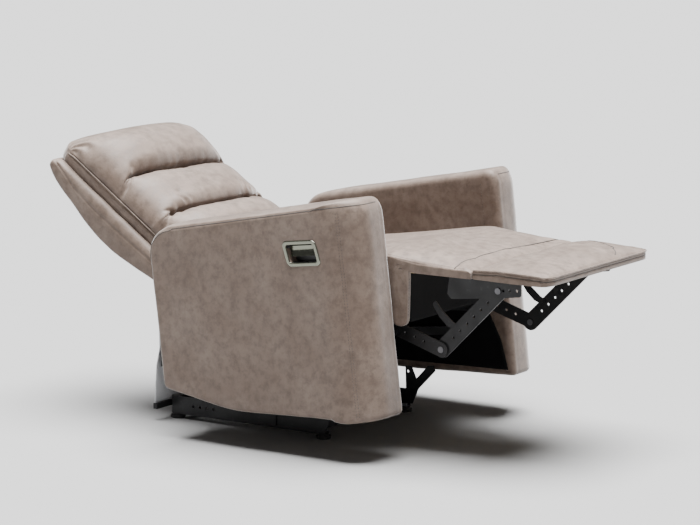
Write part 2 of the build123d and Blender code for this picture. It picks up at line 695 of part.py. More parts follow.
def back_frame():
    """Timber frame inside the back: two stiles, three rails."""
    outline = [(BACK_LOW + 20, -22), (150, -34), (290, -57), (366, -57), (BACK_TOP - 62, -25),
               (BACK_TOP - 24, -4), (BACK_TOP - 24, 0), (489, -6), (378, -14), (290, -12), (188, 0),
               (BACK_LOW + 20, 8)]
    side = [on_back(*point) for point in outline]
    body = slab(side, -STRAP_INNER, STRAP_INNER)
    low, high = BACK_LOW + 20, BACK_TOP - 20
    for start, end in ((low + 50, 285), (335, high - 50)):
        window = [on_back(start, -90), on_back(end, -90), on_back(end, 40), on_back(start, 40)]
        body -= slab(window, -STRAP_INNER + 24, STRAP_INNER - 24)
    return body


def roll(start, end, lows, crest):
    """One padded roll across the back, as a closed block with its edges eased."""
    outline = [(start + 1, lows[0]), (start + 1, crest * 0.72), (start + 28, crest), (end - 28, crest),
               (end - 1, crest * 0.72), (end - 1, lows[1])]
    return slab([on_back(*point) for point in outline], -SEAT_HALF + ROLL_INSET, SEAT_HALF - ROLL_INSET, 6)


def head_roll(low_end):
    """The thick roll at the head end, which thins towards its tip."""
    start, tip = ROLL_SEAMS[2], ROLL_SEAMS[3]
    outline = [(start + 1, low_end), (start + 1, 105), (start + 29, 140), (tip - 145, 153), (tip - 100, 148),
               (tip - 55, 112), (tip - 10, 64), (tip - 1, 40), (tip - 1, 22)]
    return slab([on_back(*point) for point in outline], -SEAT_HALF + ROLL_INSET, SEAT_HALF - ROLL_INSET, 6)


def back_bracket():
    """Steel bracket from the back pivot up to a stile of the back frame."""
    lower = [on_back(-14, -14), on_back(-14, 14), on_back(70, 14), on_back(190, -4), on_back(190, -34),
             on_back(90, -24)]
    body = slab(lower, -STRAP_INNER - 3 - PLATE, -STRAP_INNER - 3, 8)
    spacer = rod(on_back(160, -16), 7, -STRAP_INNER - 3, -STRAP_INNER)
    spacer += rod(on_back(100, -8), 7, -STRAP_INNER - 3, -STRAP_INNER)
    hole = rod(BACK_PIVOT, BOLT_RADIUS + 1 + PIVOT_GAP, -PLATE_OUTER, -STRAP_INNER + 9)
    return body + spacer - hole


def back_pins():
    """Shouldered pins of the back pivot, fast in the side plates."""
    pins = []
    for side in (-1, 1):
        shaft = rod(BACK_PIVOT, BOLT_RADIUS + 1, *sorted((side * (STRAP_INNER - 2), side * PLATE_OUTER)))
        head = rod(BACK_PIVOT, BOLT_HEAD_RADIUS, *sorted((side * PLATE_OUTER, side * (PLATE_OUTER + 4))))
        pins.append(shaft + head)
    return Compound(children=pins)


def build():
    """Every node of the chair, by name."""
    nodes = {}
    nodes |= pair("base_rail", base_rail)
    nodes["base_tubes"] = base_tubes()
    nodes["floor_feet"] = feet()
    nodes["foot_bolts"] = foot_bolts()
    nodes["tilt_brackets"] = both(tilt_bracket())
    nodes["stop_brackets"] = both(stop_bracket())
    nodes["arm_cover_right"] = arm_cover_right()
    nodes["arm_cover_left"] = mirror(lean(arm_cover()), about=Plane.YZ)
    nodes |= pair("arm_frame", arm_frame)
    nodes["arm_linings"] = both(arm_lining())
    nodes |= pair("carrier_rail", carrier_rail)
    nodes["carrier_tubes"] = carrier_tubes()
    nodes["tilt_pins"] = tilt_pins()
    nodes["slide_tracks"] = both(slide_track())
    nodes["rear_skirt"] = skirt()
    nodes["skirt_rail"] = skirt_rail()
    nodes["skirt_hangers"] = both(skirt_hanger())
    nodes["latch_bezel"] = latch_bezel()
    nodes["latch_cup"] = latch_cup()
    nodes["latch_lever"] = latch_lever()
    nodes["latch_pin"] = latch_pin()
    nodes["release_cable"] = release_cable()
    nodes["slide_runners"] = both(slide_runner())
    nodes["seat_box_rails"] = Compound(children=[both(seat_side_rail()), seat_rear_rail()])
    nodes["seat_front_rail"] = seat_front_rail()
    nodes["seat_springs"] = seat_springs()
    nodes["seat_cushion"] = seat_cushion()
    nodes["knee_board"] = knee_board()
    nodes["knee_pad"] = knee_pad()
    nodes["front_panel"] = front_panel()
    nodes["front_wraps"] = both(front_wrap())
    nodes["seat_lining"] = seat_lining()
    nodes |= pair("side_plate", side_plate)
    nodes["torque_tube"] = torque_tube()
    nodes["rear_tube"] = rear_tube()
    nodes["seat_bolts"] = seat_bolts()
    nodes["return_springs"] = both(return_spring())
    nodes |= pair("support_link", support_link)
    nodes |= pair("elbow_rivet", elbow_rivet)
    nodes |= pair("long_link", long_link)
    nodes["foot_brackets"] = both(foot_bracket())
    nodes["bracket_rivets"] = both(bracket_rivet())
    nodes["footrest_board"] = footrest_board()
    nodes["calf_pad"] = calf_pad()
    nodes["foot_pad"] = foot_pad()
    nodes["foot_screws"] = foot_screws()
    nodes["back_shell"] = back_shell()
    nodes["back_frame"] = back_frame()
    nodes["lumbar_roll"] = roll(ROLL_SEAMS[0], ROLL_SEAMS[1], (20, 14), 150.0)
    nodes["middle_roll"] = roll(ROLL_SEAMS[1], ROLL_SEAMS[2], (14, 12), 132.0)
    nodes["head_roll"] = head_roll(12)
    nodes["back_brackets"] = both(back_bracket())
    nodes["back_pins"] = back_pins()
    return nodes


os.makedirs("parts", exist_ok=True)
for node_name, solid in build().items():
    export_step(solid, f"parts/{node_name}.step")
    print(node_name, round(solid.volume))
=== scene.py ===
"""Upholstery, finishes and studio for a recliner armchair, built around its packed mechanical frame."""

import json
import logging
import math
from dataclasses import dataclass
from enum import Enum
from typing import Callable, Sequence

import bmesh
import bpy
import numpy as np
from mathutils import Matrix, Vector
from mathutils.bvhtree import BVHTree


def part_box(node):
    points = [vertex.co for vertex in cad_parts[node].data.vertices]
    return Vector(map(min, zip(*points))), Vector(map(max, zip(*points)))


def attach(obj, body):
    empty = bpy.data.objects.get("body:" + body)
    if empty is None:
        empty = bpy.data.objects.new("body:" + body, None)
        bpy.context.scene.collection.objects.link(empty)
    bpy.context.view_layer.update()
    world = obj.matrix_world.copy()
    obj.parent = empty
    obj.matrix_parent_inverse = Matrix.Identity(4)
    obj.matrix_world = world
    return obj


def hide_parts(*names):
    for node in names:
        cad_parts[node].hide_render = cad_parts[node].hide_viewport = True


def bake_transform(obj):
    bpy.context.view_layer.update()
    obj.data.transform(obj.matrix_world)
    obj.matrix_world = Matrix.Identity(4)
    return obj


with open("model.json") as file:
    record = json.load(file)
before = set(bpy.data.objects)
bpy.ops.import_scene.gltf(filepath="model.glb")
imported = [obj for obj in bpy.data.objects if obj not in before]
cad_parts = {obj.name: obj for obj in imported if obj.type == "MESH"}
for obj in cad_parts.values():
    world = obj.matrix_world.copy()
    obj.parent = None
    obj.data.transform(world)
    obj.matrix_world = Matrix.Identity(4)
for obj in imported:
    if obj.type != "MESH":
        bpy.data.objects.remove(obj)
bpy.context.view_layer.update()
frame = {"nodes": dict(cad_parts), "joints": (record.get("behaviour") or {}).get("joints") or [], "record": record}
LOG = logging.getLogger("recliner")
Array = np.ndarray


# ------------------------------------------------------------------ local frames
@dataclass(frozen=True)
class Bench:
    """A flat working frame in the chair's side view, turned about a point.

    Local coordinates are (x, along, out). With no turn, along is forward and out is up.
    """

    origin: tuple[float, float]  # forward, up
    turn: float  # degrees that the along axis rises from level forward
    flip: bool = False  # along points backwards

    def axes(self) -> tuple[Array, Array]:
        """Unit vectors of along and out, in world axes."""
        turn = math.radians(self.turn)
        sign = 1.0 if self.flip else -1.0
        along = np.array([0.0, sign * math.cos(turn), math.sin(turn)])
        out = np.array([0.0, -sign * math.sin(turn), math.cos(turn)])
        return along, out

    def to_world(self, points: Array) -> Array:
        """World positions of local points."""
        along, out = self.axes()
        base = np.array([0.0, -self.origin[0], self.origin[1]])
        across = np.outer(points[:, 0], (1.0, 0.0, 0.0))
        return base + across + np.outer(points[:, 1], along) + np.outer(points[:, 2], out)

    def to_local(self, points: Array) -> Array:
        """Local positions of world points."""
        along, out = self.axes()
        moved = points - np.array([0.0, -self.origin[0], self.origin[1]])
        return np.stack([moved[:, 0], moved @ along, moved @ out], axis=1)

    def node_box(self, node: str) -> tuple[Array, Array]:
        """Lowest and highest local corners of a frame node."""
        mesh = frame["nodes"][node].data
        points = np.empty(len(mesh.vertices) * 3)
        mesh.vertices.foreach_get("co", points)
        local = self.to_local(points.reshape(-1, 3))
        return local.min(0), local.max(0)


def joint_place(name: str) -> tuple[float, float]:
    """Side-view place (forward, up) of a joint."""
    found = next(joint for joint in frame["joints"] if joint["name"] == name)
    return (-found["pos_m"][1], found["pos_m"][2])


BODY_LEAN = 7.2
BACK_SLOPE = 35.0
LEVEL = Bench((0.0, 0.0), 0.0)
BODY = Bench(joint_place("body_tilt"), BODY_LEAN)
BACK = Bench(joint_place("backrest_recline"), BACK_SLOPE, flip=True)


# ------------------------------------------------------------------ mesh tools
def smoothstep(low: float, high: float, value: Array) -> Array:
    """0 below low, 1 above high, smooth between."""
    share = np.clip((value - low) / (high - low), 0.0, 1.0)
    return share * share * (3.0 - 2.0 * share)


def add_object(name: str, points: Array, faces: Sequence[Sequence[int]]) -> bpy.types.Object:
    """A new mesh object from points and faces, smooth shaded, with its normals outward."""
    mesh = bpy.data.meshes.new(name)
    mesh.from_pydata(np.asarray(points).tolist(), [], [list(face) for face in faces])
    mesh.update()
    piece = bpy.data.objects.new(name, mesh)
    bpy.context.scene.collection.objects.link(piece)
    work = bmesh.new()
    work.from_mesh(mesh)
    bmesh.ops.remove_doubles(work, verts=work.verts, dist=1e-6)
    bmesh.ops.recalc_face_normals(work, faces=work.faces)
    work.to_mesh(mesh)
    work.free()
    mesh.shade_smooth()
    return piece


def loft(name: str, rings: Array) -> bpy.types.Object:
    """A closed skin over rings of points, with a strip of faces across each end."""
    count, size = rings.shape[0], rings.shape[1]
    faces = []
    for ring in range(count - 1):
        for step in range(size):
            after = (step + 1) % size
            low, high = ring * size, (ring + 1) * size
            faces.append((low + step, low + after, high + after, high + step))
    for low in (0, (count - 1) * size):
        for step in range((size - 1) // 2):
            corners = (low + step, low + step + 1, low + size - 2 - step, low + size - 1 - step)
            faces.append(corners if len(set(corners)) == 4 else tuple(dict.fromkeys(corners)))
    return add_object(name, rings.reshape(-1, 3), faces)


def rounded_outline(corners: Sequence[tuple[float, float, float]], spacing: float) -> Array:
    """Evenly spaced points round a closed outline.

    Args:
        corners: (along, out, corner radius) of each corner, in order.
        spacing: distance between neighbouring points.

    Returns:
        The points, one per row.
    """
    path: list[tuple[float, float]] = []
    count = len(corners)
    for index, (along, out, radius) in enumerate(corners):
        here = Vector((along, out))
        before = Vector(corners[index - 1][:2])
        after = Vector(corners[(index + 1) % count][:2])
        back, ahead = (before - here), (after - here)
        reach = min(radius, 0.49 * back.length, 0.49 * ahead.length)
        start, end = here + back.normalized() * reach, here + ahead.normalized() * reach
        for step in range(13):
            share = step / 12
            point = start.lerp(here, share).lerp(here.lerp(end, share), share)
            path.append((point.x, point.y))
    loop = np.array(path + [path[0]])
    lengths = np.concatenate([[0.0], np.cumsum(np.linalg.norm(np.diff(loop, axis=0), axis=1))])
    total = max(24, int(lengths[-1] / spacing))
    wanted = np.linspace(0.0, lengths[-1], total, endpoint=False)
    return np.stack([np.interp(wanted, lengths, loop[:, axis]) for axis in (0, 1)], axis=1)


def vertex_array(piece: bpy.types.Object) -> Array:
    """Vertex positions of a piece, one per row."""
    points = np.empty(len(piece.data.vertices) * 3)
    piece.data.vertices.foreach_get("co", points)
    return points.reshape(-1, 3)


def normal_array(piece: bpy.types.Object) -> Array:
    """Vertex normals of a piece, one per row."""
    normals = np.empty(len(piece.data.vertices) * 3)
    piece.data.vertex_normals.foreach_get("vector", normals)
    return normals.reshape(-1, 3)


def set_vertices(piece: bpy.types.Object, points: Array) -> None:
    """Puts vertices back from an array."""
    piece.data.vertices.foreach_set("co", np.asarray(points, np.float32).ravel())
    piece.data.update()


def push(piece: bpy.types.Object, amount: Callable[[Array], Array]) -> None:
    """Moves each vertex along its normal by amount(points), in metres."""
    points = vertex_array(piece)
    set_vertices(piece, points + normal_array(piece) * amount(points)[:, None])


def noise_field(points: Array, size: float, seed: float) -> Array:
    """Smooth noise from -1 to 1 with features of about that size."""
    cells = 32
    table = np.random.default_rng(int(seed * 10) + 7).uniform(-1.0, 1.0, (cells, cells, cells))
    place = points / size + 1000.0 + seed
    low = np.floor(place).astype(int)
    part = place - low
    part = part * part * (3.0 - 2.0 * part)
    total = np.zeros(len(points))
    for corner in ((x, y, z) for x in (0, 1) for y in (0, 1) for z in (0, 1)):
        weight = np.prod(np.where(np.array(corner) == 1, part, 1.0 - part), axis=1)
        total += weight * table[tuple(((low + corner) % cells).T)]
    return total


def ridge_field(run: Array, away: Array, size: float, seed: float) -> Array:
    """Noise in folds of this spacing along a seam, which change slowly away from it."""
    return noise_field(np.stack([run, away * 0.22, np.zeros(len(run))], axis=1), size, seed)


def use_modifier(piece: bpy.types.Object, kind: str, **settings: object) -> None:
    """Adds a modifier, sets it and applies it."""
    select_only(piece)
    modifier = piece.modifiers.new(kind.lower(), kind)
    for key, value in settings.items():
        setattr(modifier, key, value)
    bpy.ops.object.modifier_apply(modifier=modifier.name)


def select_only(piece: bpy.types.Object) -> None:
    """Makes one object the selected and active one."""
    bpy.ops.object.select_all(action="DESELECT")
    piece.select_set(True)
    bpy.context.view_layer.objects.active = piece


def tube_along(name: str, path: Array, radius: float, sides: int) -> bpy.types.Object:
    """A round bead of even thickness along a path."""
    ahead = np.gradient(path, axis=0)
    ahead /= np.linalg.norm(ahead, axis=1)[:, None]
    side = np.cross(ahead, np.array([0.31, 0.77, 0.55]))
    side /= np.linalg.norm(side, axis=1)[:, None]
    other = np.cross(ahead, side)
    angles = np.linspace(0, 2 * math.pi, sides, endpoint=False)
    rings = (path[:, None, :] + radius * (np.cos(angles)[None, :, None] * side[:, None, :]
                                          + np.sin(angles)[None, :, None] * other[:, None, :]))
    return loft(name, rings)


# ------------------------------------------------------------------ finishes
class Shader:
    """A material's node tree, with short calls to add and join nodes."""

    def __init__(self, name: str) -> None:
        """Starts a material with a Principled shader and object coordinates."""
        self.material = bpy.data.materials.new(name)
        self.material.use_nodes = True
        self.tree = self.material.node_tree
        self.surface = self.tree.nodes["Principled BSDF"]
        self.place = self.tree.nodes.new("ShaderNodeTexCoord").outputs["Object"]

    def node(self, kind: str, **sockets: object) -> bpy.types.Node:
        """Adds a node. A socket given an output is linked, and any other value is set."""
        made = self.tree.nodes.new(f"ShaderNode{kind}")
        for key, value in sockets.items():
            self.join(made, key.replace("_", " "), value)
        return made

    def join(self, made: bpy.types.Node, socket: str, value: object) -> None:
        """Sets or links one socket of a node."""
        if isinstance(value, bpy.types.NodeSocket):
            self.tree.links.new(value, made.inputs[socket])
        else:
            made.inputs[socket].default_value = value

    def noise(self, scale: float, detail: float = 3.0, rough: float = 0.5) -> bpy.types.NodeSocket:
        """Noise value at this scale."""
        made = self.node("TexNoise", Vector=self.place, Scale=scale, Detail=detail, Roughness=rough)
        return made.outputs["Fac"]

    def ramp(self, value: bpy.types.NodeSocket, low: float, high: float,
             to_low: float = 0.0, to_high: float = 1.0) -> bpy.types.NodeSocket:
        """Maps a value from one range to another, clamped."""
        made = self.tree.nodes.new("ShaderNodeMapRange")
        self.tree.links.new(value, made.inputs["Value"])
        for key, number in (("From Min", low), ("From Max", high), ("To Min", to_low), ("To Max", to_high)):
            made.inputs[key].default_value = number
        return made.outputs["Result"]

    def mix(self, share: object, first: object, second: object) -> bpy.types.NodeSocket:
        """Blend of two colours."""
        made = self.tree.nodes.new("ShaderNodeMix")
        made.data_type = "RGBA"
        for index, value in ((0, share), (6, first), (7, second)):
            if isinstance(value, bpy.types.NodeSocket):
                self.tree.links.new(value, made.inputs[index])
            else:
                made.inputs[index].default_value = value if index == 0 else (*value, 1.0)
        return made.outputs[2]

    def math(self, operation: str, first: object, second: object) -> bpy.types.NodeSocket:
        """One arithmetic step."""
        made = self.tree.nodes.new("ShaderNodeMath")
        made.operation = operation
        for index, value in enumerate((first, second)):
            if isinstance(value, bpy.types.NodeSocket):
                self.tree.links.new(value, made.inputs[index])
            else:
                made.inputs[index].default_value = value
        return made.outputs[0]

    def bump(self, height: bpy.types.NodeSocket, strength: float, distance: float,
             below: bpy.types.NodeSocket | None = None) -> bpy.types.NodeSocket:
        """Bump from a height, on top of another bump."""
        made = self.node("Bump", Height=height, Strength=strength, Distance=distance)
        if below is not None:
            self.tree.links.new(below, made.inputs["Normal"])
        return made.outputs["Normal"]

    def finish(self, **sockets: object) -> bpy.types.Material:
        """Sets the surface's sockets and returns the material."""
        for key, value in sockets.items():
            if isinstance(value, tuple) and len(value) == 3:
                value = (*value, 1.0)
            self.join(self.surface, key.replace("_", " "), value)
        return self.material


@dataclass(frozen=True)
class FauxLeather:
    """Brushed, mottled faux leather."""

    name: str = "taupe_faux_leather"
    body: tuple[float, float, float] = (0.128, 0.088, 0.066)
    dark: tuple[float, float, float] = (0.062, 0.039, 0.027)
    pale: tuple[float, float, float] = (0.172, 0.128, 0.102)
    ochre: tuple[float, float, float] = (0.120, 0.078, 0.046)
    cloud_scale: float = 9.0
    patch_scale: float = 40.0
    fleck_scale: float = 85.0
    ochre_scale: float = 13.0
    patch_share: float = 0.62
    fleck_share: float = 0.35

    def material(self) -> bpy.types.Material:
        """Cloudy colour in three sizes, with a fine pebbled grain."""
        shader = Shader(self.name)
        clouds = shader.ramp(shader.noise(self.cloud_scale, 4.0, 0.6), 0.34, 0.70)
        patches = shader.ramp(shader.noise(self.patch_scale, 5.0, 0.66), 0.42, 0.66)
        flecks = shader.ramp(shader.noise(self.fleck_scale, 4.0, 0.6), 0.54, 0.74)
        warm = shader.ramp(shader.noise(self.ochre_scale, 3.0, 0.5), 0.50, 0.72, 0.0, 0.6)
        colour = shader.mix(clouds, self.body, self.pale)
        colour = shader.mix(shader.math("MULTIPLY", patches, self.patch_share), colour, self.dark)
        colour = shader.mix(shader.math("MULTIPLY", warm, flecks), colour, self.ochre)
        colour = shader.mix(shader.math("MULTIPLY", flecks, self.fleck_share), colour, self.dark)
        rough = shader.ramp(patches, 0.0, 1.0, 0.60, 0.50)
        grain = shader.node("TexVoronoi", Vector=shader.place, Scale=620.0).outputs["Distance"]
        normal = shader.bump(grain, 0.22, 0.0006)
        normal = shader.bump(shader.noise(190.0, 4.0, 0.6), 0.25, 0.0010, normal)
        normal = shader.bump(shader.noise(34.0, 3.0, 0.5), 0.30, 0.0020, normal)
        return shader.finish(Base_Color=colour, Roughness=rough, Normal=normal,
                             Sheen_Weight=0.50, Sheen_Roughness=0.42, Specular_IOR_Level=0.42)


@dataclass(frozen=True)
class PaintedSteel:
    """Powder-coated steel with slight orange peel and rubbed spots."""

    name: str
    colour: tuple[float, float, float]
    rough: float = 0.42

    def material(self) -> bpy.types.Material:
        """Dark coat, faintly rubbed, with fine peel."""
        shader = Shader(self.name)
        rubbed = shader.ramp(shader.noise(60.0, 6.0, 0.7), 0.58, 0.78)
        bare = tuple(min(1.0, 3.0 * part + 0.02) for part in self.colour)
        colour = shader.mix(shader.math("MULTIPLY", rubbed, 0.5), self.colour, bare)
        rough = shader.ramp(shader.noise(25.0, 4.0), 0.3, 0.7, self.rough - 0.08, self.rough + 0.12)
        normal = shader.bump(shader.noise(900.0, 2.0), 0.12, 0.0004)
        return shader.finish(Base_Color=colour, Roughness=rough, Normal=normal, Metallic=0.35)


@dataclass(frozen=True)
class BareMetal:
    """Uncoated metal, from polished chrome to drawn wire."""

    name: str
    colour: tuple[float, float, float]
    rough: float

    def material(self) -> bpy.types.Material:
        """Metal with soft smears and fine scratches."""
        shader = Shader(self.name)
        rough = shader.ramp(shader.noise(45.0, 5.0, 0.65), 0.35, 0.7, self.rough, self.rough * 1.6 + 0.03)
        stretched = shader.node("Mapping", Vector=shader.place, Scale=(30.0, 900.0, 900.0)).outputs["Vector"]
        lines = shader.node("TexNoise", Vector=stretched, Scale=1.0, Detail=2.0).outputs["Fac"]
        normal = shader.bump(lines, 0.05, 0.0002)
        return shader.finish(Base_Color=self.colour, Roughness=rough, Normal=normal, Metallic=1.0)


@dataclass(frozen=True)
class Timber:
    """Sawn wood or plywood."""

    name: str
    pale: tuple[float, float, float]
    dark: tuple[float, float, float]
    stretch: tuple[float, float, float] = (4.0, 60.0, 60.0)

    def material(self) -> bpy.types.Material:
        """Long grain lines along the board."""
        shader = Shader(self.name)
        stretched = shader.node("Mapping", Vector=shader.place, Scale=self.stretch).outputs["Vector"]
        lines = shader.node("TexNoise", Vector=stretched, Scale=1.0, Detail=6.0, Distortion=0.8)
        grain = lines.outputs["Fac"]
        colour = shader.mix(shader.ramp(grain, 0.35, 0.65), self.pale, self.dark)
        normal = shader.bump(grain, 0.3, 0.0006)
        return shader.finish(Base_Color=colour, Roughness=0.75, Normal=normal)


@dataclass(frozen=True)
class WovenCloth:
    """Thin lining cloth."""

    name: str
    colour: tuple[float, float, float]
    variation: float = 0.25
    sheen: float = 0.2
    gloss: float = 0.5

    def material(self) -> bpy.types.Material:
        """Fibrous cloth with a fine weave and cloudy thickness."""
        shader = Shader(self.name)
        cloudy = shader.ramp(shader.noise(22.0, 5.0, 0.6), 0.35, 0.7)
        darker = tuple(part * (1.0 - self.variation) for part in self.colour)
        colour = shader.mix(cloudy, self.colour, darker)
        threads = shader.node("TexWave", Vector=shader.place, Scale=320.0, Distortion=1.5).outputs["Fac"]
        normal = shader.bump(threads, 0.25, 0.0005)
        normal = shader.bump(shader.noise(70.0, 4.0), 0.3, 0.0012, normal)
        return shader.finish(Base_Color=colour, Roughness=0.9, Normal=normal, Sheen_Weight=self.sheen,
                             Specular_IOR_Level=self.gloss)


@dataclass(frozen=True)
class Moulding:
    """Moulded plastic or rubber."""

    name: str
    colour: tuple[float, float, float]
    rough: float = 0.55

    def material(self) -> bpy.types.Material:
        """Even colour with a fine spark-eroded texture."""
        shader = Shader(self.name)
        colour = shader.mix(shader.noise(40.0, 4.0), self.colour, tuple(part * 1.5 for part in self.colour))
        rough = shader.ramp(shader.noise(30.0, 3.0), 0.3, 0.7, self.rough - 0.06, self.rough + 0.08)
        normal = shader.bump(shader.noise(1400.0, 2.0), 0.2, 0.0003)
        return shader.finish(Base_Color=colour, Roughness=rough, Normal=normal)


class Slot(Enum):
    """The record's material slots and the finish of each."""

    COVER = "cover"
    BLACK_STEEL = "black_steel"
    ZINC_STEEL = "zinc_steel"
    SPRING_STEEL = "spring_steel"
    CHROME = "chrome"
    PIN_STEEL = "pin_steel"
    DARK_PLASTIC = "dark_plastic"
    CABLE_SHEATH = "cable_sheath"
    FOOT_RUBBER = "foot_rubber"
    TIMBER = "timber"
    PLYWOOD = "plywood"
    BLACK_CLOTH = "black_cloth"
    PALE_CLOTH = "pale_cloth"


class Finishes:
    """Makes each finish once and hands out its material."""

    recipes: dict[Slot, object] = {
        Slot.COVER: FauxLeather(),
        Slot.BLACK_STEEL: PaintedSteel("black_powder_coat", (0.012, 0.012, 0.013)),
        Slot.ZINC_STEEL: BareMetal("dull_zinc", (0.15, 0.15, 0.16), 0.36),
        Slot.SPRING_STEEL: BareMetal("oiled_spring_wire", (0.10, 0.10, 0.105), 0.38),
        Slot.CHROME: BareMetal("polished_chrome", (0.21, 0.215, 0.175), 0.16),
        Slot.PIN_STEEL: BareMetal("ground_pin", (0.28, 0.28, 0.29), 0.3),
        Slot.DARK_PLASTIC: Moulding("black_cup_plastic", (0.010, 0.010, 0.010), 0.35),
        Slot.CABLE_SHEATH: Moulding("cable_sheath", (0.012, 0.012, 0.012), 0.45),
        Slot.FOOT_RUBBER: Moulding("foot_rubber", (0.014, 0.014, 0.014), 0.7),
        Slot.TIMBER: Timber("sawn_pine", (0.56, 0.40, 0.24), (0.42, 0.27, 0.14)),
        Slot.PLYWOOD: Timber("plywood", (0.58, 0.44, 0.28), (0.45, 0.31, 0.18)),
        Slot.BLACK_CLOTH: WovenCloth("black_lining", (0.0045, 0.0045, 0.005), 0.25, 0.0, 0.12),
        Slot.PALE_CLOTH: WovenCloth("pale_backing", (0.60, 0.61, 0.63), 0.15),
    }

    def __init__(self) -> None:
        """Starts with nothing made."""
        self.made: dict[Slot, bpy.types.Material] = {}
        self.thread_and_shade_material: bpy.types.Material | None = None

    def of(self, slot: Slot) -> bpy.types.Material:
        """The material of a slot."""
        if slot not in self.made:
            self.made[slot] = self.recipes[slot].material()
        return self.made[slot]

    def painted_rail(self) -> bpy.types.Material:
        """Black paint over the rear panel's hem rail."""
        return PaintedSteel("black_rail_paint", (0.008, 0.008, 0.009), 0.6).material()

    def thread_and_seam_shade(self) -> bpy.types.Material:
        """Dark thread for the stitches, also used as painted shade along the seams."""
        if self.thread_and_shade_material is None:
            self.thread_and_shade_material = WovenCloth("dark_thread_and_seam_shade", (0.045, 0.036, 0.031)).material()
        return self.thread_and_shade_material

    def dress(self, piece: bpy.types.Object, slot: Slot) -> None:
        """Gives a piece one finish."""
        piece.data.materials.clear()
        piece.data.materials.append(self.of(slot))


FINISHES = Finishes()


def dress_frame() -> None:
    """Gives every mechanical node the finish of its slot, and paints the rear panel's hem rail black."""
    slots = {part["node"]: part["material_slot"] for part in frame["record"]["subparts"]}
    for name, node in frame["nodes"].items():
        node.data.materials.clear()
        node.data.materials.append(FINISHES.of(Slot(slots[name])))
    rail = frame["nodes"]["skirt_rail"]
    rail.data.materials.clear()
    rail.data.materials.append(FINISHES.painted_rail())


def settle(piece: bpy.types.Object, body: str, slot: Slot, *replaced: str) -> bpy.types.Object:
    """Dresses a piece, rides it on its body and hides what it stands for."""
    FINISHES.dress(piece, slot)
    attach(piece, body)
    if replaced:
        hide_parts(*replaced)
    LOG.info("%s: %d faces, rides on %s", piece.name, len(piece.data.polygons), body)
    return piece


# ------------------------------------------------------------------ cloth
@dataclass(frozen=True)
class ClothSettings:
    """How a pad swells."""

    pressure: float = 4.0
    frames: int = 20
    cap: float = 0.022
    stiffness: float = 15.0


def swell(piece: bpy.types.Object, settings: ClothSettings, hold: Callable[[Array], Array]) -> None:
    """Inflates a closed pad as cloth, held where hold(points) is near 1, with its travel capped."""
    select_only(piece)
    before = vertex_array(piece)
    group = piece.vertex_groups.new(name="held")
    weights = hold(before)
    for index, weight in enumerate(weights):
        if weight > 0.01:
            group.add([index], float(weight), "REPLACE")
    modifier = piece.modifiers.new("cloth", "CLOTH")
    cloth = modifier.settings
    cloth.use_pressure = True
    cloth.uniform_pressure_force = settings.pressure
    cloth.vertex_group_mass = "held"
    cloth.tension_stiffness = settings.stiffness
    cloth.compression_stiffness = settings.stiffness
    cloth.bending_stiffness = 0.5
    cloth.effector_weights.gravity = 0.0
    modifier.point_cache.frame_start = 1
    modifier.point_cache.frame_end = settings.frames
    for step in range(1, settings.frames + 1):
        bpy.context.scene.frame_set(step)
    bpy.ops.object.modifier_apply(modifier=modifier.name)
    bpy.context.scene.frame_set(1)
    moved = vertex_array(piece) - before
    length = np.linalg.norm(moved, axis=1)
    scale = np.minimum(1.0, settings.cap / np.maximum(length, 1e-9))
    set_vertices(piece, before + moved * scale[:, None])
    piece.vertex_groups.clear()


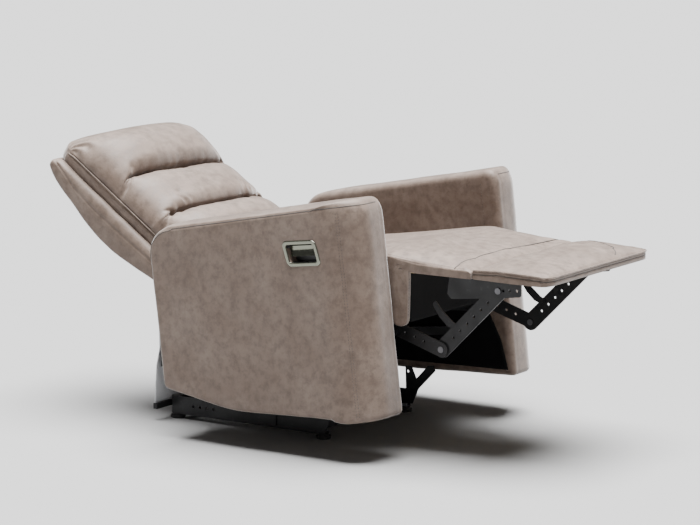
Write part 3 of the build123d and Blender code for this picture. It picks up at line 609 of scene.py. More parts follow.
# ------------------------------------------------------------------ arms
@dataclass
class Arm:
    """One upholstered arm: a flat outer panel, a rounded front and a domed top."""

    side: int  # -1 right, 1 left
    seam_rear_height: float = 0.406  # outer top seam above the tilt pivot, at the rear
    seam_front_height: float = 0.447
    dome: float = 0.011
    front_radius_x: float = 0.084
    front_radius_y: float = 0.112
    inner_edge: float = 0.018
    outer_edge: float = 0.006
    stitch_setback: float = 0.046  # front face to the upright stitching
    latch_depth: float = 0.0305
    latch_skew: float = 0.0065
    latch_corner: float = 0.012
    latch_clearance: float = 1.012  # opening in the cover, as a share of the cup's outline
    rear_corner: float = 0.070
    spacing: float = 0.008

    def __post_init__(self) -> None:
        """Reads the arm's place from the frame."""
        self.node = "arm_cover_right" if self.side < 0 else "arm_cover_left"
        low, high = BODY.node_box(self.node)
        self.inner = min(abs(low[0]), abs(high[0]))
        self.outer = max(abs(low[0]), abs(high[0]))
        self.rear, self.front = low[1], high[1]

    def outline(self) -> Array:
        """Side view at the seam line."""
        front, rear = self.front, self.rear
        return rounded_outline([
            (rear, 0.0, 0.012), (rear, self.seam_rear_height, 0.075),
            (front, self.seam_front_height, 0.034), (front - 0.004, -0.100, 0.012),
            (front - 0.138, -0.087, 0.10), (front - 0.34, -0.073, 0.12), (front - 0.475, -0.052, 0.10),
        ], self.spacing)

    def ring(self, outline: Array, across: float, inset: float, shrink: float) -> Array:
        """One ring of the arm at a distance from the chair's middle plane."""
        centre = np.array([0.5 * (self.rear + self.front), 0.16])
        ahead = np.roll(outline, -1, axis=0) - np.roll(outline, 1, axis=0)
        normal = np.stack([ahead[:, 1], -ahead[:, 0]], axis=1)
        normal /= np.linalg.norm(normal, axis=1)[:, None]
        inward = normal * np.sign(((centre - outline) * normal).sum(1))[:, None]
        flat = centre + (outline + inward * inset - centre) * shrink
        start = self.outer - self.front_radius_x
        share = np.clip((across - start) / self.front_radius_x, 0.0, 1.0)
        setback = self.front_radius_y * (1.0 - math.sqrt(max(0.0, 1.0 - share * share)))
        pivot = self.front - self.front_radius_y - 0.02
        scale = (self.front - setback - pivot) / (self.front - pivot)
        along = np.where(flat[:, 0] > pivot, pivot + (flat[:, 0] - pivot) * scale, flat[:, 0])
        middle = (across - self.inner) / (self.outer - self.inner)
        rise = self.dome * np.sqrt(np.clip(1.0 - (2.0 * abs(middle - 0.42) / 1.16) ** 2.4, 0.0, 1.0))
        upward = np.clip(-inward[:, 1], 0.0, 1.0) ** 1.5
        up = flat[:, 1] + rise * upward * (shrink > 0.999)
        return np.stack([np.full(len(flat), across * self.side), along, up], axis=1)

    def build(self) -> bpy.types.Object:
        """The arm's cover."""
        outline = self.outline()
        rings = []
        shares = np.concatenate([np.linspace(0.004, 0.9, 34), np.linspace(0.915, 0.99, 8)])
        for share in shares:
            rings.append(self.ring(outline, self.outer, self.outer_edge, share))
        for angle in np.linspace(0.0, math.pi / 2, 5):
            across = self.outer - self.outer_edge * (1 - math.sin(math.pi / 2 - angle))
            rings.append(self.ring(outline, across, self.outer_edge * (1 - math.sin(angle)), 1.0))
        for across in np.linspace(self.outer - self.outer_edge - 0.004, self.inner + self.inner_edge, 22):
            rings.append(self.ring(outline, across, 0.0, 1.0))
        for angle in np.linspace(0.0, math.pi / 2, 8)[1:]:
            across = self.inner + self.inner_edge * (1 - math.sin(angle))
            rings.append(self.ring(outline, across, self.inner_edge * (1 - math.cos(angle)), 1.0))
        for share in shares[::-1]:
            rings.append(self.ring(outline, self.inner, self.inner_edge, share))
        local = np.array(rings)
        world = BODY.to_world(local.reshape(-1, 3)).reshape(local.shape)
        piece = loft(f"arm_upholstery_{'right' if self.side < 0 else 'left'}", world)
        piece.data.update()
        push(piece, self.relief)
        return piece

    def relief(self, points: Array) -> Array:
        """Seams and soft unevenness of the padding."""
        local = BODY.to_local(points)
        across, along, up = np.abs(local[:, 0]), local[:, 1], local[:, 2]
        slope = (self.seam_front_height - self.seam_rear_height) / (self.front - self.rear)
        line = self.seam_rear_height + slope * (along - self.rear)
        at_top = np.exp(-((up - line + 0.001) / 0.0028) ** 2)
        at_top *= smoothstep(self.inner + 0.03, self.inner + 0.06, across)
        at_top *= smoothstep(self.rear + 0.02, self.rear + 0.07, along)
        at_top *= 1.0 - smoothstep(self.front - 0.05, self.front - 0.02, along)
        front_seam = self.front - self.stitch_setback
        at_front = np.exp(-((along - front_seam) / 0.0022) ** 2) * (across > self.outer - 0.040)
        at_corner = np.exp(-((across - self.inner - 0.022) / 0.0022) ** 2) * (along > self.front - 0.03)
        soft = noise_field(points, 0.11, 3.0 + self.side) * 0.0016 + noise_field(points, 0.045, 9.0) * 0.0006
        pull = smoothstep(0.0, 0.05, line - up) * 0.002
        return soft + pull - 0.0022 * at_top - 0.0014 * at_front * (up < line) - 0.0014 * at_corner

    def finish(self) -> None:
        """Builds the arm and dresses it."""
        piece = self.build()
        if self.side < 0:
            self.open_latch(piece)
        settle(piece, "chair_body", Slot.COVER, self.node)
        hand = "right" if self.side < 0 else "left"
        # Thin dark line of painted shade along the outer top seam, in the dark thread material.
        path = on_surface(piece, self.top_seam(), -0.0002)
        bead(f"arm_top_seam_shade_{hand}", path, 0.0012, "chair_body", dark=True)
        for offset, label in ((-0.004, "outer"), (0.004, "inner")):
            path = on_surface(piece, self.front_seam(offset), 0.0001)
            stitches(f"arm_front_{label}_stitches_{hand}", path, "chair_body")
        path = on_surface(piece, self.inner_seam(), 0.0001)
        stitches(f"arm_inner_stitches_{hand}", path, "chair_body")

    def open_latch(self, piece: bpy.types.Object) -> None:
        """Cuts the latch's recess into the outer face."""
        low, high = BODY.node_box("latch_cup")
        depth = self.latch_depth
        skewed = 2 * self.latch_skew
        corners = ((low[1], high[2]), (high[1] - skewed, high[2]),
                   (high[1], low[2]), (low[1] + skewed, low[2]))
        outline = rounded_outline([(along, up, self.latch_corner) for along, up in corners], 0.004)
        middle = outline.mean(0)
        outline = middle + (outline - middle) * self.latch_clearance
        rings = [np.column_stack([np.full(len(outline), across), outline])
                 for across in (-self.outer - 0.01, -self.outer + 0.5 * depth, -self.outer + depth)]
        local = np.array(rings)
        cutter = loft("latch_cutter", BODY.to_world(local.reshape(-1, 3)).reshape(local.shape))
        use_modifier(piece, "BOOLEAN", object=cutter, operation="DIFFERENCE", solver="EXACT")
        bpy.data.objects.remove(cutter)

    def seam_height(self, along: float) -> float:
        """Height of the outer top seam."""
        share = (along - self.rear) / (self.front - self.rear)
        return self.seam_rear_height + (self.seam_front_height - self.seam_rear_height) * share

    def top_seam(self) -> Array:
        """Line of the outer top seam, round the rear corner and along to the front."""
        radius = self.rear_corner
        points = []
        for angle in np.linspace(0.0, math.pi / 2, 14):
            along = self.rear + radius * (1 - math.cos(angle))
            drop = radius * (1 - math.sin(angle))
            points.append((self.outer, along, self.seam_height(self.rear) - drop - 0.001))
        turn = self.front - self.front_radius_y
        for along in np.linspace(self.rear + radius + 0.01, turn, 60):
            points.append((self.outer, along, self.seam_height(along) - 0.001))
        for angle in np.linspace(0.0, math.pi / 2, 24)[1:]:
            drop = 0.005 * math.sin(angle) ** 2
            along = turn + (self.front_radius_y - 0.006) * math.sin(angle)
            points.append((self.outer - self.front_radius_x * (1.0 - math.cos(angle)), along,
                           self.seam_height(along) - 0.001 - drop))
        for across in np.linspace(self.outer - self.front_radius_x - 0.004, self.inner + 0.026, 10):
            points.append((across, self.front - 0.006, self.seam_height(self.front) - 0.006))
        local = np.array(points) * np.array([self.side, 1.0, 1.0])
        return BODY.to_world(local)

    def front_seam(self, offset: float) -> Array:
        """Line of the upright seam near the front of the outer face."""
        along = self.front - self.stitch_setback
        heights = np.linspace(-0.088, self.seam_height(along) - 0.006, 90)
        local = np.array([(self.outer * self.side, along + offset, up) for up in heights])
        return BODY.to_world(local)

    def inner_seam(self) -> Array:
        """Line of the upright seam near the front of the inner face."""
        along = self.front - 0.046
        heights = np.linspace(-0.085, self.seam_height(along) - 0.020, 90)
        return BODY.to_world(np.array([(self.inner * self.side, along, up) for up in heights]))


# ------------------------------------------------------------------ sewn detail
@dataclass(frozen=True)
class Groove:
    """A soft fold or sewn line pressed into a padded surface, along a path in the surface's own plane."""

    path: tuple[tuple[float, float], ...]
    depth: float
    width: float
    taper: float = 0.02  # how far each end takes to fade

    def depth_at(self, places: Array) -> Array:
        """How deep the groove is at each place.

        Args:
            places: (across, along) of each point.

        Returns:
            Depth of each point, in metres.
        """
        best = np.full(len(places), 1e9)
        run_at = np.zeros(len(places))
        run = 0.0
        for start, end in zip(self.path[:-1], self.path[1:]):
            low, high = np.array(start), np.array(end)
            length = float(np.linalg.norm(high - low))
            share = np.clip(((places - low) @ (high - low)) / length ** 2, 0.0, 1.0)
            away = np.linalg.norm(places - low - share[:, None] * (high - low), axis=1)
            nearer = away < best
            best = np.where(nearer, away, best)
            run_at = np.where(nearer, run + share * length, run_at)
            run += length
        fade = np.minimum(smoothstep(0.0, self.taper, run_at), smoothstep(0.0, self.taper, run - run_at))
        return self.depth * fade * np.exp(-(best / self.width) ** 2)


def fan_folds(places: Array, centre: tuple[float, float], reach: float, count: float,
              height: float) -> Array:
    """Short folds that fan out from a gathered corner."""
    away = places - np.array(centre)
    distance = np.linalg.norm(away, axis=1)
    angle = np.arctan2(away[:, 1], away[:, 0])
    strength = np.exp(-((distance - 0.4 * reach) / (0.55 * reach)) ** 2)
    return height * strength * np.cos(count * angle + 9.0 * distance / reach)


def on_surface(piece: bpy.types.Object, path: Array, lift: float) -> Array:
    """The nearest points of a piece's surface to a path, raised by lift."""
    found = []
    tree = BVHTree.FromPolygons([vertex.co for vertex in piece.data.vertices],
                                [face.vertices for face in piece.data.polygons])
    for point in path:
        place, normal, _, _ = tree.find_nearest(Vector(point))
        found.append(place + normal * lift)
    return np.array(found)


def bead(name: str, path: Array, radius: float, body: str, dark: bool = False) -> bpy.types.Object:
    """A line of piping along a path. With dark set, it is a thin dark line of painted shade along a seam instead.
    """
    piece = tube_along(name, path, radius, 6)
    settle(piece, body, Slot.COVER)
    # With dark set, the dark thread material paints the shade in a seam.
    if dark:
        piece.data.materials[0] = FINISHES.thread_and_seam_shade()
    return piece


def stitches(name: str, path: Array, body: str, pitch: float = 0.0075) -> bpy.types.Object:
    """A row of short raised stitches along a path."""
    lengths = np.concatenate([[0.0], np.cumsum(np.linalg.norm(np.diff(path, axis=0), axis=1))])
    points, faces = [], []
    for start in np.arange(0.0, lengths[-1] - pitch, pitch):
        wanted = start + np.array([0.0, 0.2, 0.5, 0.62]) * pitch
        row = np.stack([np.interp(wanted, lengths, path[:, axis]) for axis in range(3)], axis=1)
        ahead = row[-1] - row[0]
        ahead /= np.linalg.norm(ahead)
        side = np.cross(ahead, (0.31, 0.77, 0.55))
        side /= np.linalg.norm(side)
        other = np.cross(ahead, side)
        first = len(points)
        for centre, radius in zip(row, (0.0002, 0.0006, 0.0006, 0.0002)):
            for angle in np.arange(5) * 2 * math.pi / 5:
                points.append(centre + radius * (math.cos(angle) * side + math.sin(angle) * other))
        for ring in range(3):
            for step in range(5):
                low, high = first + 5 * ring, first + 5 * (ring + 1)
                faces.append((low + step, low + (step + 1) % 5, high + (step + 1) % 5, high + step))
        faces.append(tuple(first + step for step in range(5)))
        faces.append(tuple(first + 15 + step for step in range(5)))
    piece = add_object(name, np.array(points), faces)
    settle(piece, body, Slot.COVER)
    piece.data.materials[0] = FINISHES.thread_and_seam_shade()
    return piece


# ------------------------------------------------------------------ backrest
@dataclass
class Backrest:
    """One border-sewn back cushion with three rolls, in a padded outer shell."""

    pipe: float = 0.045
    base: float = 0.010
    lip: float = 0.015  # height of the shell's front face beside the cushion
    lip_width: float = 0.022
    start: float = 0.061
    top: float = 0.613
    lower_seam: float = 0.232
    upper_seam: float = 0.392
    seam_skew: float = 0.005
    corner: float = 0.055
    crest_places: tuple[float, ...] = (
        0.061, 0.10, 0.14, 0.21, 0.28, 0.364, 0.43, 0.47, 0.515, 0.56, 0.595, 0.613)
    crests: tuple[float, ...] = (
        0.112, 0.140, 0.150, 0.148, 0.139, 0.139, 0.147, 0.152, 0.147, 0.118, 0.080, 0.050)
    rim_places: tuple[float, ...] = (0.048, 0.188, 0.312, 0.411, 0.501, 0.544, 0.593)
    rim_heights: tuple[float, ...] = (-0.006, -0.010, -0.016, -0.018, -0.013, 0.000, 0.008)

    def __post_init__(self) -> None:
        """Reads the cushion's width from the frame."""
        self.half = BACK.node_box("head_roll")[1][0] - 0.001
        self.shell_half = BACK.node_box("back_shell")[1][0]

    def seam_depth(self, across: Array, along: Array) -> Array:
        """How far the surface is drawn in at the two cross seams."""
        share = across / self.half
        open_end = 1.0 - smoothstep(0.74, 0.95, np.abs(share))
        total = np.zeros(len(across))
        for place, depth in ((self.lower_seam, 0.040), (self.upper_seam, 0.048)):
            beyond = along - self.seam_line(place, share)
            reach = np.where(beyond > 0.0, 0.040, 0.070)
            away = np.clip(np.abs(beyond) / reach, 0.0, 1.0)
            round_in = 1.0 - np.sqrt(np.clip(1.0 - (1.0 - away) ** 2.0, 0.0, 1.0))
            total += depth * (0.14 + 0.86 * open_end) * round_in
        return total

    def seam_line(self, place: float, share: float | Array) -> float | Array:
        """Where a cross seam lies, a little bowed and skewed."""
        return place - self.seam_skew * share + 0.006 * share ** 2

    def height(self, across: Array, along: Array) -> Array:
        """Height of the cushion's face above the back line."""
        share = np.clip(np.abs(across) / self.half, 0.0, 1.0)
        crest = np.interp(along, self.crest_places, self.crests)
        crest = crest - self.seam_depth(across, along)
        fall = (1.0 - share ** 3.8) ** 0.5
        return self.pipe + np.maximum(crest - self.pipe, -0.02) * fall

    def end(self, across: float) -> float:
        """Where the head end of the cushion lies at this place across, with rounded corners."""
        reach = abs(across) - (self.half - self.corner)
        if reach <= 0:
            return self.top
        return self.top - self.corner * (1.0 - math.sqrt(max(0.0, 1.0 - (reach / self.corner) ** 2))) * 0.9

    def section(self, across: float, shrink: float) -> Array:
        """Closed outline of the cushion at one place across it."""
        end = self.end(across)
        share = across / self.half
        lower = self.seam_line(self.lower_seam, share)
        upper = self.seam_line(self.upper_seam, share)
        marks = (self.start, lower, upper, self.top)
        spread = 0.5 * (1.0 - np.cos(np.linspace(0.0, math.pi, 33)))
        runs = [low + (high - low) * spread[:-1] for low, high in zip(marks[:-1], marks[1:])]
        stretch = np.concatenate(runs + [[self.top]])
        along = self.start + (stretch - self.start) * (end - self.start) / (self.top - self.start)
        face = self.height(np.full(len(stretch), across), stretch)
        tip = np.stack([np.full(4, end) + np.array((0.0015, 0.002, 0.0015, 0.0)),
                        np.linspace(face[-1] - 0.006, self.base + 0.003, 4)], axis=1)
        under_along = np.linspace(end - 0.003, self.start, 48)
        under = np.stack([under_along, np.full(48, self.base)], axis=1)
        rear = np.stack([np.full(8, self.start), np.linspace(self.base + 0.012, face[0] - 0.006, 8)], axis=1)
        loop = np.vstack([np.stack([along, face], axis=1), tip, under, rear])
        middle = np.array([0.5 * (self.start + end), 0.030])
        loop = middle + (loop - middle) * np.array([shrink, shrink])
        return np.stack([np.full(len(loop), across), loop[:, 0], loop[:, 1]], axis=1)

    def cushion(self) -> bpy.types.Object:
        """The three-roll cushion."""
        places = self.half * np.sin(np.linspace(-math.pi / 2, math.pi / 2, 76))
        ends = np.linspace(0.10, 0.94, 9)
        rings = [self.section(-self.half, share) for share in ends]
        rings += [self.section(place, 1.0) for place in places]
        rings += [self.section(self.half, share) for share in ends[::-1]]
        local = np.array(rings)
        world = BACK.to_world(local.reshape(-1, 3)).reshape(local.shape)
        piece = loft("back_cushion", world)
        swell(piece, ClothSettings(cap=0.012), self.hold)
        use_modifier(piece, "SUBSURF", levels=1, render_levels=1)
        push(piece, self.relief)
        return piece

    def hold(self, points: Array) -> Array:
        """Where the cover is sewn down: border, cross seams and back."""
        local = BACK.to_local(points)
        across, along, out = local[:, 0], local[:, 1], local[:, 2]
        under = 1.0 - smoothstep(self.pipe - 0.004, self.pipe + 0.006, out)
        border = smoothstep(self.half - 0.006, self.half - 0.001, np.abs(across))
        share = across / self.half
        seam = np.zeros(len(points))
        for place in (self.lower_seam, self.upper_seam):
            line = self.seam_line(place, share)
            near = 1.0 - smoothstep(0.004, 0.012, np.abs(along - line))
            seam = np.maximum(seam, near * (np.abs(share) < 0.80))
        return np.clip(np.maximum(np.maximum(under, border), seam), 0.0, 1.0)

    def relief(self, points: Array) -> Array:
        """Folds at the seams, corners and border."""
        local = BACK.to_local(points)
        across, along, out = local[:, 0], local[:, 1], local[:, 2]
        share = across / self.half
        upper = smoothstep(self.pipe, self.pipe + 0.014, out)
        mirrored = np.stack([-np.abs(across), along], axis=1)
        total = noise_field(points, 0.10, 1.0) * 0.0022 + noise_field(points, 0.034, 4.0) * 0.0006
        for index, place in enumerate((self.lower_seam, self.upper_seam)):
            away = np.abs(along - self.seam_line(place, share))
            inside = 1.0 - smoothstep(0.76, 0.90, np.abs(share))
            total -= 0.0050 * np.exp(-(away / 0.0036) ** 2) * inside
            ridges = ridge_field(across, away, 0.017, 3.0 + index)
            cluster = smoothstep(0.25, 0.9, np.abs(share) + 0.25 * np.sin(across * 21.0 + index))
            total += 0.0030 * ridges * np.exp(-away / 0.026) * (0.35 + cluster) * upper
        half = self.half
        folds = (
            Groove(((-0.80 * half, 0.400), (-0.92 * half, 0.388), (-1.02 * half, 0.366)), 0.0060, 0.0060),
            Groove(((-0.76 * half, 0.240), (-0.90 * half, 0.232), (-1.02 * half, 0.208)), 0.0055, 0.0060),
            Groove(((-0.64 * half, 0.282), (-0.56 * half, 0.238)), 0.0042, 0.0048),
            Groove(((-0.60 * half, 0.300), (-0.46 * half, 0.242)), 0.0030, 0.0050),
            Groove(((-0.92 * half, 0.258), (-0.76 * half, 0.238)), 0.0042, 0.0048),
            Groove(((-0.74 * half, 0.430), (-0.82 * half, 0.404)), 0.0028, 0.0060),
        )
        for fold in folds:
            total -= fold.depth_at(mirrored) * upper
        gathers = fan_folds(mirrored, (-1.0 * half, 0.585), 0.060, 9.0, 0.0030)
        total += gathers * smoothstep(0.0, 0.02, out - self.pipe)
        side = ridge_field(along, out, 0.016, 8.0)
        near_pipe = np.exp(-np.clip(out - self.pipe, 0.0, 1.0) / 0.024) * upper
        total += 0.0016 * side * near_pipe * smoothstep(0.80, 0.97, np.abs(share))
        border = np.exp(-((out - self.pipe) / 0.0036) ** 2)
        border *= smoothstep(half - 0.010, half - 0.004, np.abs(across))
        band = smoothstep(0.012, 0.022, out) * (1.0 - smoothstep(0.032, 0.043, out))
        band *= np.abs(share) > 0.985
        return total - 0.0022 * border + 0.0020 * band

    def piping(self) -> None:
        """The sewn line round the cushion's border."""
        side = np.linspace(self.start, self.top - self.corner, 60)
        path = [(self.half + 0.0012, along, self.pipe) for along in side]
        for angle in np.linspace(0.0, math.pi / 2, 14)[1:]:
            across = self.half - self.corner * (1.0 - math.cos(angle)) + 0.0012
            path.append((across, self.top - self.corner * (1.0 - math.sin(angle) * 0.9) + 0.0012,
                         self.pipe - 0.014 * math.sin(angle)))
        end = [(across, self.top + 0.0026, self.pipe - 0.0145)
               for across in np.linspace(self.half - self.corner - 0.006, 0.0, 24)]
        half_path = np.array(path + end)
        other = half_path[::-1][1:] * np.array([-1.0, 1.0, 1.0])
        bead("back_cushion_piping", BACK.to_world(np.vstack([half_path, other])), 0.0017, "backrest")

    def rim(self, along: Array) -> Array:
        """Height of the shell's front edge."""
        return np.interp(along, self.rim_places, self.rim_heights)

    def shell_section(self, across: float, inset: float, shrink: float) -> Array:
        """Closed outline of the shell at one place across it."""
        rear_places = (0.048, 0.150, 0.243, 0.291, 0.365, 0.440, 0.532, 0.580, 0.598)
        rear_heights = (-0.032, -0.045, -0.063, -0.0712, -0.0712, -0.059, -0.038, -0.024, -0.010)
        along = np.linspace(0.048, 0.598, 78)
        rear = np.pad(np.interp(along, rear_places, rear_heights), 4, "edge")
        smooth = np.convolve(rear, np.ones(9) / 9, "valid")
        side = max(0.0, min(1.0, (self.shell_half - abs(across)) / self.lip_width))
        rounding = math.sqrt(1.0 - (1.0 - side) ** 2)
        ridge = self.rim(along)
        front = ridge + (self.lip - ridge) * rounding
        if abs(across) < self.half + 0.001:
            front = front - 0.012 * min(1.0, (self.half + 0.001 - abs(across)) / 0.006) * (along < 0.585)
        depth = front - smooth
        middle = smooth + 0.5 * depth
        half_depth = np.maximum(0.5 * depth * shrink - inset, 0.001)
        tip = 1.0 - smoothstep(0.575, 0.600, along) * 0.42
        high, low = middle + half_depth * tip, middle - half_depth * tip
        squeezed = 0.323 + (along - 0.323) * (1.0 - inset / 0.28)
        loop = np.vstack([np.stack([squeezed, high], axis=1), np.stack([squeezed[::-1], low[::-1]], axis=1)])
        return np.stack([np.full(len(loop), across), loop[:, 0], loop[:, 1]], axis=1)

    def shell(self) -> bpy.types.Object:
        """The padded outer back."""
        half = self.shell_half
        edge = 0.006
        right = [self.shell_section(-half, edge, share) for share in np.linspace(0.06, 0.94, 8)]
        for angle in np.linspace(0, math.pi / 2, 6):
            place = -half + edge * (1 - math.cos(angle))
            right.append(self.shell_section(place, edge * (1 - math.sin(angle)), 1.0))
        near = np.linspace(half - edge, half - 0.036, 12)
        across = np.concatenate([-near[1:], np.linspace(-half + 0.04, half - 0.04, 44), near[:0:-1]])
        middle = [self.shell_section(place, 0.0, 1.0) for place in across]
        left = [ring * np.array([-1.0, 1.0, 1.0]) for ring in right[::-1]]
        local = np.array(right + middle + left)
        world = BACK.to_world(local.reshape(-1, 3)).reshape(local.shape)
        piece = loft("back_shell_upholstery", world)
        use_modifier(piece, "SUBSURF", levels=1, render_levels=1)
        push(piece, self.shell_relief)
        return piece

    def shell_relief(self, points: Array) -> Array:
        """Rim seam, side padding and the hollow the cushion lies in."""
        local = BACK.to_local(points)
        across, along, out = np.abs(local[:, 0]), local[:, 1], local[:, 2]
        half = self.shell_half
        seam = np.exp(-((out - self.rim(along) - 0.001) / 0.0026) ** 2) * (across > half - 0.010)
        rear_seam = np.exp(-((across - half + 0.030) / 0.0030) ** 2) * (out < self.rim(along) - 0.03)
        puff = smoothstep(0.0, 0.020, self.rim(along) - out) * (across > half - 0.01) * 0.0015
        soft = noise_field(points, 0.10, 6.0) * 0.0022 + noise_field(points, 0.04, 2.0) * 0.0008
        return soft + puff - 0.0020 * seam - 0.0016 * rear_seam

    def finish(self) -> None:
        """Builds the cushion and the shell."""
        cushion = self.cushion()
        settle(cushion, "backrest", Slot.COVER, "lumbar_roll", "middle_roll", "head_roll")
        self.piping()
        shell = self.shell()
        settle(shell, "backrest", Slot.COVER, "back_shell")


# ------------------------------------------------------------------ seat and footrest
@dataclass
class LongPad:
    """A pad that runs across the chair, crowned to a sewn line near its lower edge."""

    name: str
    half: float
    top: tuple[tuple[float, float], ...]  # (forward, up) along the middle, rear to front
    line: tuple[tuple[float, float], ...]  # (forward, up) of the sewn line at the sides
    under: tuple[tuple[float, float], ...]  # (forward, up) of the underside, front to rear
    relief: Callable[[Array], Array] | None = None
    round_front: float = 0.0
    power: float = 3.0
    cap: float = 0.006
    end_roll: float = 0.024  # how far each end of a pad with a rounded front takes to rise

    @staticmethod
    def quarter_round(share: Array) -> Array:
        """Rise of a quarter circle, 0 at share 0 and 1 from share 1 on."""
        return np.sqrt(np.clip(1 - (1 - np.clip(share, 0, 1)) ** 2, 0, 1))

    def section(self, across: float, shrink: float, count: int) -> Array:
        """Closed outline at one place across the pad."""
        share = min(1.0, abs(across) / self.half)
        fall = (1.0 - share ** self.power) ** 0.5
        tops = np.array(self.top)
        lines = np.array(self.line)
        setback = self.round_front * (1.0 - math.sqrt(max(0.0, 1.0 - max(0.0, (share - 0.86) / 0.14) ** 2)))
        along = np.linspace(tops[0, 0], tops[-1, 0], count)
        edge = 0.006
        crown = np.interp(along, tops[:, 0], tops[:, 1])
        kernel = np.hanning(11)
        crown = np.convolve(np.pad(crown, 5, "edge"), kernel / kernel.sum(), "valid")
        line = np.interp(along, lines[:, 0], lines[:, 1])
        up = line + (crown - line) * fall
        from_end = np.minimum(along - along[0], along[-1] - along)
        if self.round_front:
            up = line + (up - line) * self.quarter_round(from_end / self.end_roll)
        else:
            up = up - edge * (1 - self.quarter_round(from_end / edge))
        along = along[0] + (along - along[0]) * (1 - setback / (along[-1] - along[0]))
        under = np.array(self.under)
        lengths = np.concatenate([[0], np.cumsum(np.linalg.norm(np.diff(under, axis=0), axis=1))])
        wanted = np.linspace(0, lengths[-1], count)
        lower = np.stack([np.interp(wanted, lengths, under[:, axis]) for axis in (0, 1)], axis=1)
        lower[:, 0] = np.minimum(lower[:, 0], along[-1])
        front = np.stack([np.full(5, along[-1]), np.linspace(up[-1], lower[0, 1], 7)[1:-1]], axis=1)
        rear = np.stack([np.full(5, along[0]), np.linspace(lower[-1, 1], up[0], 7)[1:-1]], axis=1)
        loop = np.vstack([np.stack([along, up], axis=1), front, lower, rear])
        middle = np.stack([loop[:, 0], np.interp(loop[:, 0], lines[:, 0], lines[:, 1]) - 0.01], axis=1)
        loop = middle + (loop - middle) * shrink
        return np.stack([np.full(len(loop), across), loop[:, 0], loop[:, 1]], axis=1)

    def build(self) -> bpy.types.Object:
        """The pad, swollen and with its folds."""
        tops = np.array(self.top)
        count = max(24, int((tops[-1, 0] - tops[0, 0]) / 0.009))
        places = self.half * np.sin(np.linspace(-math.pi / 2, math.pi / 2, 64))
        ends = np.linspace(0.12, 0.92, 5)
        rings = [self.section(-self.half, share, count) for share in ends]
        rings += [self.section(place, 1.0, count) for place in places]
        rings += [self.section(self.half, share, count) for share in ends[::-1]]
        local = np.array(rings)
        world = LEVEL.to_world(local.reshape(-1, 3)).reshape(local.shape)
        piece = loft(self.name, world)
        swell(piece, ClothSettings(cap=self.cap), self.hold)
        use_modifier(piece, "SUBSURF", levels=1, render_levels=1)
        if self.relief:
            push(piece, self.relief)
        return piece

    def line_height(self, along: Array) -> Array:
        """Height of the sewn line at the sides."""
        lines = np.array(self.line)
        return np.interp(along, lines[:, 0], lines[:, 1])

    def hold(self, points: Array) -> Array:
        """Where the pad is tacked down."""
        local = LEVEL.to_local(points)
        return 1.0 - smoothstep(-0.002, 0.004, local[:, 2] - self.line_height(local[:, 1]))


